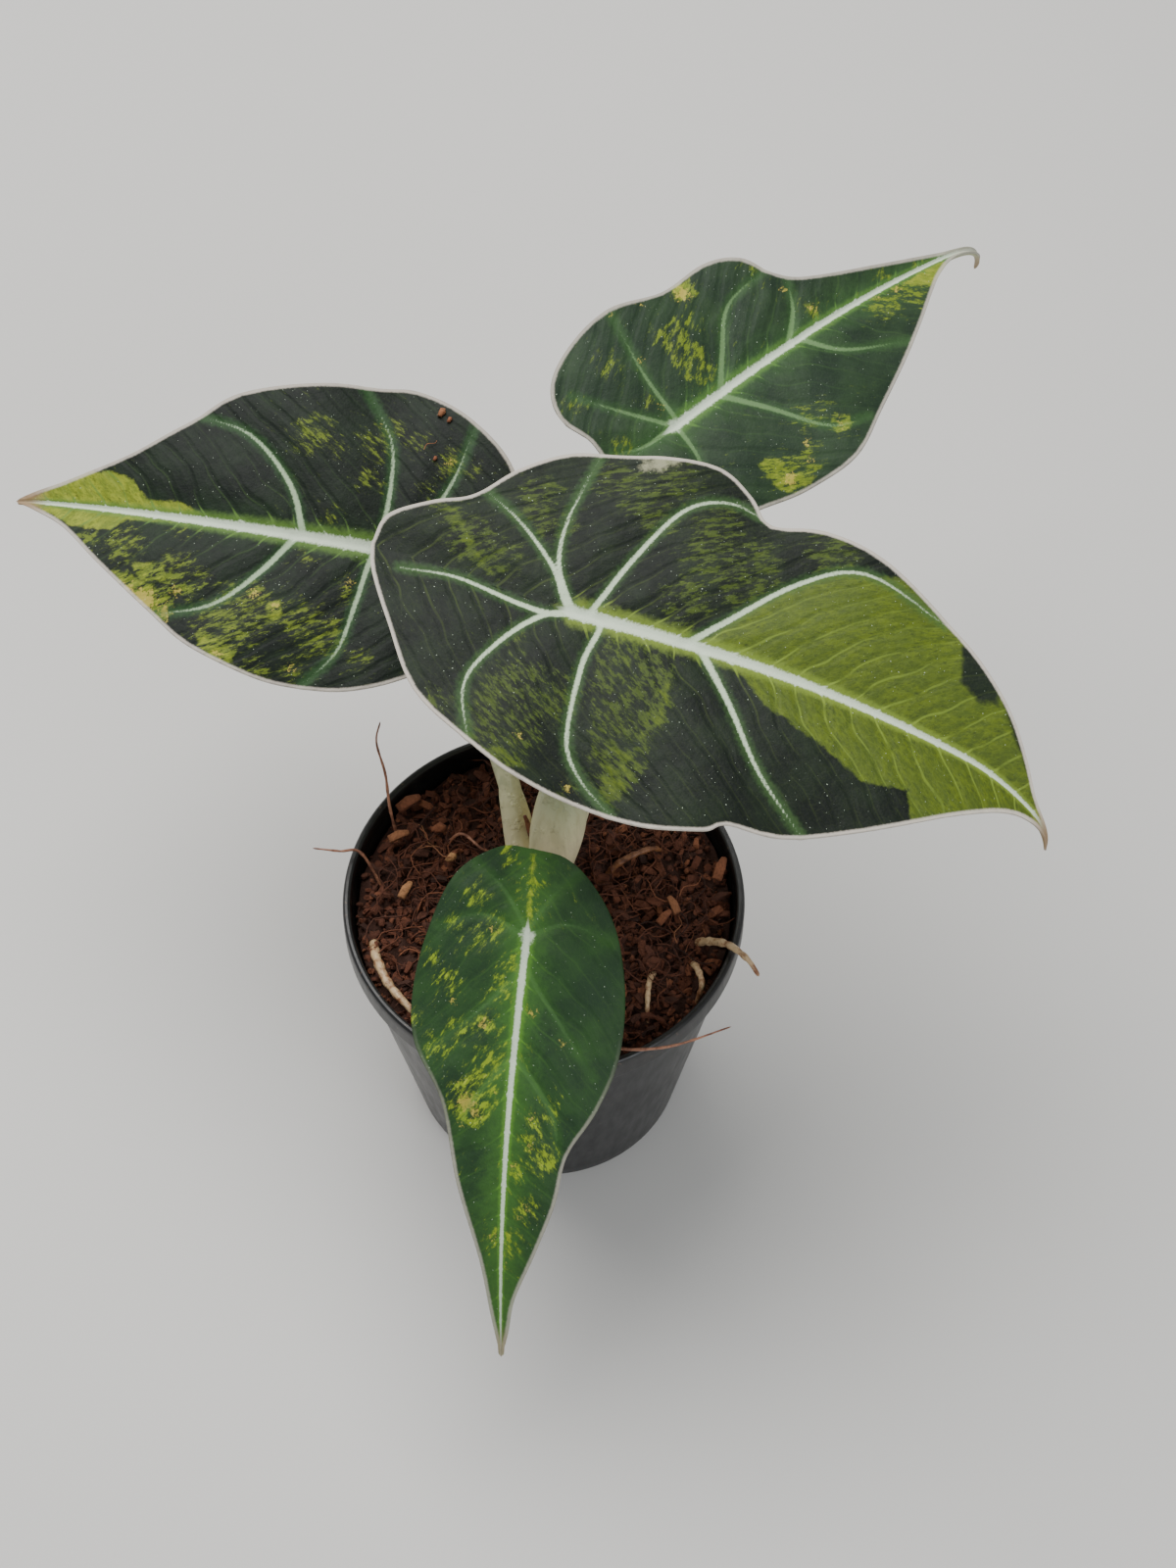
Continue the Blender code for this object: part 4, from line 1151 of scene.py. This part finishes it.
# Each sheath has its route, and its radius at the foot, past its middle and at its end.
SHEATHS = {
    "broad": ([(1.1, 5.4, 66), (1.1, 5.5, 78), (2.5, 6.8, 89), (4.0, 9.0, 100), (5.1, 12.2, 112)],
              (4.9, 6.0, 1.6)),
    "back": ([(3.4, 9.8, 66), (3.6, 10.6, 78), (6.4, 17.4, 90), (9.6, 26.6, 102)],
             (3.6, 4.3, 1.5)),
    "left": ([(-4.3, 8.3, 66), (-4.5, 8.6, 77), (-6.2, 14.2, 88), (-8.4, 20.6, 96)],
             (3.7, 3.4, 1.5)),
    "front": ([(-2.3, 0, 66), (-2.4, -0.4, 76), (-2.5, -4.6, 85.5)], (3.2, 3.0, 1.2)),
}
DRIED_TIP = [(-2.6, 10.4, 86), (-3.4, 10.6, 90.5), (-4.1, 10.4, 94.5)]


def make_knob():
    def radius(share, angle):
        return 10.6 * (1 - 0.42 * share ** 2.2) + 0.35 * np.sin(share * 31)

    x, y = CROWN_PLACE
    route = [(x, y, 56), (x, y, 64), (x + 0.3, y, 71), (x + 0.4, y + 0.4, 76.4)]
    return tube("crown_knob", route, radius, 60, 44, 0.2)


def make_sheath(name):
    """A sheath: wide at the foot, full past its middle, and drawn in at its upper end."""
    route, (foot, middle, end) = SHEATHS[name]

    def radius(share, angle):
        widths = smooth_path([(0, foot), (0.3, foot), (0.6, middle), (0.84, 0.8 * middle),
                              (1, end)], 12)
        full = np.interp(share, widths[:, 0], widths[:, 1])
        ridges = 0.022 * np.sin(5 * angle + 2.5 * share) + 0.012 * np.sin(13 * angle)
        seam = 0.05 * np.exp(-((np.abs(angle + math.pi) - 0.55) / 0.12) ** 2)
        return full * (1 + ridges + seam)

    return tube("sheath_" + name, route, radius, 70, 56, 0.4)


def sheath_finish():
    skin = Finish("sheath_skin", 0.45, Coat_Weight=0.03, Subsurface_Weight=0.1,
                  Subsurface_Radius=(0.004, 0.004, 0.002))
    position = skin.position()
    height = skin.part(position, "Z")
    streaks = skin.noise(skin.stretch(position, (1, 1, 0.1)), 650.0, 3)
    on_right = skin.mask(skin.part(position, "X"), -0.003, 0.001, -0.014)
    shift = skin.times(on_right, skin.mask(skin.attribute("share"), 0.36, 0.22))
    paint_by_height(skin, skin.sum("ADD", height, shift))
    skin.lay(skin.mask(streaks, 0.42, 0.66, 0.3), tint(160, 152, 108))
    dirt = skin.mask(skin.noise(position, 260.0, 4, 0.7), 0.5, 0.66)
    muddy = skin.times(dirt, skin.mask(height, 0.084, 0.072, 0.8))
    low = skin.larger(muddy, skin.mask(height, 0.080, 0.076, 0.92))
    skin.lay(low, tint(82, 52, 36))
    matte = skin.scaled(low, 0.45, 0.38)
    skin.roughness(skin.scaled(streaks, 0.2, matte))
    skin.bump(skin.scaled(dirt, 0.8, streaks), 0.0004, 0.7)
    return skin.material


sheath_skin = sheath_finish()
finished(make_knob(), sheath_skin, "stalk_flesh", "crown")
for name in SHEATHS:
    finished(make_sheath(name), sheath_skin, "stalk_flesh")
dried = tube("dried_tip", DRIED_TIP, lambda share, angle: 0.9 * (1 - 0.6 * share), 20, 10, 1.0)

# %% [markdown]
# ## The pot
# A thin pot is the plainest of turned shapes: one profile, from the middle of the base out and
# up the wall, over the lip and back down the inside. Rolled once round the axis and welded, it
# is a closed shell, much as Blender's Spin tool or Screw modifier would make it. Six drain holes
# are then cut through its floor with a Boolean modifier, as a drill would.

# %% Turned shell with drain holes
# Each point of the profile is (radius, height).
POT_PROFILE = [(0, 1.1), (26, 1.1), (28.5, 0.3), (29.2, 0), (31.2, 0), (31.8, 0.25), (32.05, 0.9),
               (33.2, 8), (35.6, 23), (38.1, 38), (40.5, 53), (42.4, 65), (43.25, 69.9),
               (43.5, 70.35), (44.7, 70.5), (44.95, 70.75), (45, 71.2), (45, 75.9), (44.85, 76.6),
               (44.4, 77), (43.8, 77), (43.35, 76.7), (43.15, 76.1), (43.1, 72.5), (42.6, 70.8),
               (41.7, 66), (38.8, 48), (35.4, 27), (31.6, 4.2), (31.2, 3.1), (30.2, 2.7), (0, 2.7)]
DRAIN_HOLES = 6
DRAIN_RADIUS = 3.2
DRAIN_CIRCLE = 20
SIDES = 160
SMOOTH_UNDER = 40


def make_pot():
    profile = np.array([(radius, 0, height) for radius, height in POT_PROFILE], float)
    reached = np.concatenate([[0], np.cumsum(np.linalg.norm(np.diff(profile, axis=0), axis=1))])
    reached /= reached[-1]
    middle = (reached[1:] + reached[:-1]) / 2
    shares = np.sort(np.concatenate([reached, middle, (middle + reached[1:]) / 2]))

    def rule(down, over):
        share = np.interp(down, np.linspace(0, 1, len(shares)), shares)
        radius = np.interp(share, reached, profile[:, 0])
        height = np.interp(share, reached, profile[:, 2])
        angle = 2 * math.pi * over
        return np.stack([radius * np.cos(angle), radius * np.sin(angle), height], -1)

    pot = bent_grid("nursery_pot", len(shares) - 1, SIDES, rule)
    edited(pot, (bpy.ops.mesh.normals_make_consistent, {"inside": False}))
    return pot


def drill(pot, index):
    angle = 2 * math.pi * index / DRAIN_HOLES
    place = (DRAIN_CIRCLE * math.cos(angle) * MM, DRAIN_CIRCLE * math.sin(angle) * MM, 1.5 * MM)
    bpy.ops.mesh.primitive_cylinder_add(vertices=32, radius=DRAIN_RADIUS * MM, depth=8 * MM,
                                        location=place)
    cutter = bpy.context.object
    only(pot)
    bpy.ops.object.modifier_add(type="BOOLEAN")
    cut = pot.modifiers[-1]
    cut.operation = "DIFFERENCE"
    cut.object = cutter
    bpy.ops.object.modifier_apply(modifier=cut.name)
    bpy.data.objects.remove(cutter)


def pot_finish():
    plastic = Finish("black_plastic", 0.4)
    position = plastic.position()
    dust = plastic.mask(plastic.noise(position, 55.0, 5, 0.65), 0.45, 0.75, 0.4)
    plastic.colour(plastic.mix(dust, tint(20, 21, 22), tint(44, 43, 41)))
    scuff = plastic.noise(plastic.stretch(position, (1, 1, 0.25)), 420.0, 3)
    grit = plastic.mask(plastic.noise(position, 900.0, 2), 0.68, 0.74, 0.5)
    plastic.lay(grit, tint(96, 78, 62))
    plastic.roughness(plastic.scaled(scuff, 0.28, 0.24))
    plastic.bump(scuff, 0.0001, 0.5)
    return plastic.material


pot = make_pot()
for index in range(DRAIN_HOLES):
    drill(pot, index)
finished(pot, pot_finish(), "pot_plastic", "pot")
only(pot)
bpy.ops.object.shade_smooth_by_angle(angle=math.radians(SMOOTH_UNDER))

# %% [markdown]
# ## A bed of coir
# Coir is ground coconut husk, and its look is all in small broken pieces, with dark gaps between
# them. The body under them is a closed drum that fits the pot, with a lumpy top that the same
# formula shaped in the solids. It takes the darkest coir tone, which is painted shade for the gaps
# between the pieces. A Displace modifier could roughen it further, but the scattered pieces have
# to know its height too, so the script asks Blender's noise itself.

# %% Body of the soil
POT_BASE_RADIUS = 32
SOIL_EDGE = 71
SOIL_MOUND = 1.8
SOIL_RADIUS = 42.0
SOIL_BOTTOM = 3.2
SOIL_SINK = 0.8
POT_TOP_RADIUS = 43.4
POT_WALL_HEIGHT = 70.5
WALL = 1.3
TOP_ENDS = 0.72


def wall_radius(height):
    """Outer radius of the pot's wall at a height."""
    return POT_BASE_RADIUS + (POT_TOP_RADIUS - POT_BASE_RADIUS) * height / POT_WALL_HEIGHT


def soil_height(x, y):
    dome = SOIL_MOUND * (1 - (np.hypot(x, y) / 45) ** 2)
    lumps = 0.7 * np.sin(0.31 * x + 1) * np.sin(0.27 * y) + 0.5 * np.sin(0.83 * x + 0.4 * y)
    return SOIL_EDGE + dome + lumps + 0.4 * np.sin(0.9 * y - 0.5 * x)


def roughness_at(x, y):
    """Clods, from Blender's noise at two sizes."""
    place = Vector((x * 0.22, y * 0.22, 3.1))
    fine = Vector((x * 0.75, y * 0.75, 8.4))
    return 1.5 * noise.noise(place) + 0.9 * noise.noise(fine)


def make_soil():
    outline = np.array([(0, 1.0), (SOIL_RADIUS, 1.0), (wall_radius(66) - WALL, 0.9),
                        (wall_radius(SOIL_BOTTOM) - WALL, 0.0), (0, 0.0)])
    stops = np.array([0, TOP_ENDS, 0.76, 0.92, 1.0])

    def rule(down, over):
        angle = -2 * math.pi * over
        radius = np.interp(down, stops, outline[:, 0])
        level = np.interp(down, stops, outline[:, 1])
        x, y = radius * np.cos(angle), radius * np.sin(angle)
        rough = np.array([roughness_at(*place) for place in zip(x.tolist(), y.tolist())])
        top = soil_height(x, y) + rough * np.clip((41.5 - radius) / 4, 0, 1) - SOIL_SINK
        height = SOIL_BOTTOM + (top - SOIL_BOTTOM) * level
        return np.stack([x, y, np.where(down <= TOP_ENDS, top, height)], -1)

    return bent_grid("coir_bed", 150, 200, rule)


def coir_finish(name, gloss):
    """Coir whose colour follows the shade that each piece of it carries."""
    husk = Finish(name, gloss)
    position, shade = husk.position(), husk.attribute("shade")
    husk.colour(husk.mix(husk.mask(shade, 0.0, 0.55), tint(52, 29, 20), tint(104, 58, 38)))
    husk.lay(husk.mask(shade, 0.55, 0.93), tint(146, 90, 60))
    husk.lay(husk.mask(shade, 0.93, 1.0), tint(196, 146, 98))
    grain = husk.noise(position, 1500.0, 4, 0.7)
    husk.lay(husk.mask(grain, 0.4, 0.7, 0.45), tint(58, 32, 22))
    husk.roughness(husk.scaled(grain, 0.25, gloss - 0.1))
    husk.bump(grain, 0.0005, 0.8)
    return husk.material


coir = coir_finish("coir_husk", 0.85)
bed = make_soil()
# The bed is coir in its darkest tone, painted shade for the gaps between the pieces on it.
store(bed, "shade", np.full(len(bed.data.vertices), 0.12))
finished(bed, coir, "coir_soil", "soil")

# %% [markdown]
# ## Crumbs, flakes and fibres
# Three kinds of small shape are modelled, with three or four variants each: an angular crumb
# from a squashed ball, a flake of husk from a flattened block, and a wiry fibre from a rolled
# grid. Particles could strew them, but seeded draws give the same bed each time. A copy has only
# twenty to forty faces, because thousands of them lie here.

# %% Models for the small pieces
FLAKE_HALF_LENGTH = 1.8


def jitter(piece, amount, seed):
    draw = random.Random(seed)
    for vertex in piece.data.vertices:
        vertex.co += Vector([draw.uniform(-amount, amount) * MM for _ in range(3)])


def model_crumb(seed):
    bpy.ops.mesh.primitive_ico_sphere_add(subdivisions=1, radius=1.0 * MM)
    crumb = bpy.context.object
    edited(crumb, (bpy.ops.transform.resize, {"value": (1.15, 0.85, 0.7)}))
    jitter(crumb, 0.27, seed)
    return crumb


def model_flake(seed):
    """A block squashed flat, with one end pinched and its middle lifted."""
    bpy.ops.mesh.primitive_cube_add(size=2 * MM)
    flake = bpy.context.object
    edited(flake, (bpy.ops.mesh.subdivide, {"number_cuts": 1}),
           (bpy.ops.transform.resize, {"value": (FLAKE_HALF_LENGTH, 0.75, 0.26)}))
    for vertex in flake.data.vertices:
        far = vertex.co.x / (FLAKE_HALF_LENGTH * MM)
        vertex.co.y *= 1 - 0.45 * max(far, 0)
        vertex.co.z += 0.5 * MM * (1 - far * far)
    jitter(flake, 0.16, seed)
    return flake


def model_fibre(seed, length, bow):
    draw = random.Random(seed)
    reach = length / 2
    route = [(-reach, 0, 0), (-reach / 3, bow, draw.uniform(0, bow)),
             (reach / 3, -bow * 0.6, draw.uniform(0, bow)), (reach, bow * 0.4, 0)]
    return tube("fibre_model", route, lambda share, angle: 0.19 * (1 - 0.5 * share), 9, 4)


MODELS = {
    "crumbs": [model_crumb(seed) for seed in (3, 4, 5, 6)],
    "flakes": [model_flake(seed) for seed in (7, 8, 9)],
    "fibres": [model_fibre(11, 9, 1.2), model_fibre(12, 14, 2.4), model_fibre(13, 6, 0.7)],
}
print({name: len(models[0].data.polygons) for name, models in MODELS.items()})

# %% [markdown]
# A copy gets its place from a draw over the disc of soil, and then its own turn, size and shade.
# One that would stand inside the crown is drawn again. The copies of each kind are joined into
# one piece, since nobody will ever pick up a single crumb.

# %% Scatter them over the bed
CROWN_CLEAR = 8.5
COUNTS = {"crumbs": 2600, "flakes": 760, "fibres": 520}
SIZES = {"crumbs": (0.35, 1.15), "flakes": (0.5, 1.15), "fibres": (0.7, 1.3)}
RISE = {"crumbs": (-0.3, 0.9), "flakes": (0.1, 1.5), "fibres": (0.4, 2.0)}
REACH = {"crumbs": 42.0, "flakes": 40.4, "fibres": 37.0}
TURN = {"crumbs": 3.1, "flakes": 0.65, "fibres": 0.32}
FULL_TURN = 6.28


def spot_on_bed(draw, reach):
    while True:
        radius, angle = reach * math.sqrt(draw.random()), draw.uniform(0, 2 * math.pi)
        x, y = radius * math.cos(angle), radius * math.sin(angle)
        if math.hypot(x - CROWN_PLACE[0], y - CROWN_PLACE[1]) > CROWN_CLEAR:
            return x, y


def copy_of(model, place, turn, size, shade):
    """Another mesh of the model, turned, scaled and moved as if by hand."""
    mesh = model.data.copy()
    values = np.full(len(mesh.vertices), shade, np.float32)
    if "shade" not in mesh.attributes:
        mesh.attributes.new("shade", "FLOAT", "POINT")
    mesh.attributes["shade"].data.foreach_set("value", values)
    copy = bpy.data.objects.new(model.name, mesh)
    bpy.context.collection.objects.link(copy)
    copy.location, copy.rotation_euler, copy.scale = Vector(place) * MM, turn, (size,) * 3
    return copy


def joined(name, copies):
    bpy.ops.object.select_all(action="DESELECT")
    for copy in copies:
        copy.select_set(True)
    bpy.context.view_layer.objects.active = copies[0]
    bpy.ops.object.join()
    piece = bpy.context.object
    bpy.ops.object.transform_apply(location=True, rotation=True, scale=True)
    piece.name = name
    piece.data.name = name
    return piece


def scatter(kind, seed):
    draw = random.Random(seed)
    copies = []
    for _ in range(COUNTS[kind]):
        size = draw.uniform(*SIZES[kind])
        x, y = spot_on_bed(draw, REACH[kind])
        level = float(soil_height(x, y)) + roughness_at(x, y) - SOIL_SINK + draw.uniform(*RISE[kind])
        tilt = TURN[kind]
        turn = (draw.uniform(-tilt, tilt), draw.uniform(-tilt, tilt), draw.uniform(0, FULL_TURN))
        shade = draw.betavariate(2, 2.6)
        copies.append(copy_of(draw.choice(MODELS[kind]), (x, y, level), turn, size, shade))
    return joined("coir_" + kind, copies)


for seed, kind in enumerate(MODELS, start=20):
    finished(scatter(kind, seed), coir, "coir_soil")
    if kind != "fibres":
        only(bpy.data.objects["coir_" + kind])
        bpy.ops.object.shade_flat()

# %% [markdown]
# A few chips are larger or paler than the rest and draw the eye: an orange slab of husk by the
# right rim, some straw-coloured splinters, and a few crumbs and a curl of fibre that fell on the
# left leaf when the plant was potted. They could wait for a lucky draw, but copies of the same
# models, set one by one, lie just where they should.

# %% Chips that stand out
# A chip is (kind, place, size, shade, turn), and litter is (kind, place on the leaf, size, shade).
CHIPS = [("flakes", (39.8, 8.6, 74.8), 1.5, 0.93, 1.2), ("flakes", (-33, 17, 75.2), 1.3, 0.95, 0.3),
         ("flakes", (-31, 3, 74.8), 1.2, 0.97, 1.0), ("flakes", (29, -1, 75.0), 1.2, 0.95, 2.0),
         ("flakes", (27, -4, 74.8), 1.1, 0.9, 0.8), ("crumbs", (-21, 11, 75.4), 1.3, 1.0, 0.4),
         ("flakes", (-31, 26, 75.0), 1.6, 0.8, 0.5), ("crumbs", (-24, 19, 75.0), 1.6, 0.85, 0.1),
         ("fibres", (-24, 12, 76.2), 1.0, 0.95, 2.9), ("fibres", (33, 3, 76.0), 0.9, 0.9, 0.8),
         ("fibres", (30, -8, 76.0), 0.8, 0.95, 1.5), ("fibres", (-28, -14, 76.0), 1.0, 0.9, 0.2)]
LEAF_LITTER = [("crumbs", (-5, -33), 1.1, 0.95), ("crumbs", (-7, -31.5), 0.7, 0.85),
               ("fibres", (-4, -25), 0.55, 0.95), ("crumbs", (-5.5, -22), 0.6, 0.8)]

set_chips = [copy_of(MODELS[kind][0], place, (0.2, -0.1, turn), size, shade)
             for kind, place, size, shade, turn in CHIPS]
finished(joined("coir_chips", set_chips), coir, "coir_soil")
litter = []
for kind, (along, across), size, shade in LEAF_LITTER:
    spot = blade_points(LEAVES["left"], np.array([along]), np.array([across]), -0.35)[0]
    litter.append(copy_of(MODELS[kind][0], spot, (0.3, 0.1, 0.9), size, shade))
finished(joined("coir_on_leaf", litter), coir, "coir_soil")
for model in [model for models in MODELS.values() for model in models]:
    bpy.data.objects.remove(model)

# %% [markdown]
# ## Roots and long fibres
# A few strands are long enough to notice: four pale roots near the rim, a straw, and wiry fibres,
# some of which reach over the lip. A bevelled curve would be quicker, but its radius couldn't
# wobble as a root does, so they are rolled grids on the routes that the solids follow. The dried
# tip of the old sheath gets a finish of the same kind.

# %% Strands and their finishes
# Each strand has its thickness and its route.
STRANDS = {
    "root_over_rim": (1.1, [(33, -8, 70), (37, -11, 76), (41, -14, 79.6), (45, -18, 80.2),
                            (47.5, -21, 78)]),
    "root_loop_right": (0.9, [(33, -13, 70), (34, -17, 74.6), (35, -21, 74.4), (33.5, -24, 70)]),
    "root_loop_low": (0.8, [(25, -15, 70), (23.5, -20, 74.4), (23, -25, 74), (23, -29, 70)]),
    "root_inside_left": (1.3, [(-38, -8, 70), (-37, -14, 73.5), (-34, -21, 74.4), (-29, -27, 74),
                               (-24, -30, 70)]),
    "fibre_front": (0.6, [(8, -33, 70), (14, -38, 77.6), (20, -40, 79.8), (29, -39, 80),
                          (41, -35, 81)]),
    "straw_back": (0.9, [(13, 8, 70), (17, 10, 75), (24, 13, 76), (28, 15, 71)]),
    "fibre_upright": (0.6, [(-33, 17, 70), (-35, 22, 79), (-36, 28, 84), (-38, 34, 88),
                            (-37, 37, 92)]),
    "fibre_left": (0.6, [(-36, 5, 70), (-41, 10, 79), (-46, 10, 80), (-52, 11, 79.6)]),
    "fibre_behind": (0.6, [(-24, 16, 70), (-19, 17, 76), (-14, 13, 76), (-10.5, 15, 71)]),
}


def make_strand(name):
    thick, route = STRANDS[name]
    thin = 0.6 if name.startswith("fibre") else 0.85

    def radius(share, angle):
        wobble = 1 + 0.09 * np.sin(share * 41 + thick) + 0.06 * np.sin(share * 67)
        return thick * thin * wobble * (1 - 0.6 * share ** 3)

    return tube(name, route, radius, 60, 12, 1.0)


def strand_finish(name, light, dark, gloss):
    husk = Finish(name, gloss)
    position = husk.position()
    patches = husk.mask(husk.noise(position, 420.0, 4, 0.7), 0.40, 0.66)
    husk.colour(husk.mix(patches, light, dark))
    husk.lay(husk.mask(husk.attribute("share"), 0.8, 1.0, 0.6), dark)
    husk.roughness(husk.scaled(patches, 0.2, gloss - 0.1))
    husk.bump(husk.noise(position, 900.0, 3), 0.0004, 0.7)
    return husk.material


root_skin = strand_finish("pale_root", tint(206, 178, 138), tint(132, 86, 56), 0.5)
fibre_skin = strand_finish("brown_fibre", tint(160, 110, 84), tint(100, 60, 44), 0.6)
straw_skin = strand_finish("dry_straw", tint(138, 92, 58), tint(92, 54, 34), 0.55)
finished(dried, strand_finish("dried_sheath", tint(138, 84, 62), tint(88, 44, 34), 0.6),
         "stalk_flesh")
for name in STRANDS:
    skin = {"root": root_skin, "fibre": fibre_skin, "straw": straw_skin}[name.split("_")[0]]
    finished(make_strand(name), skin, "coir_soil")
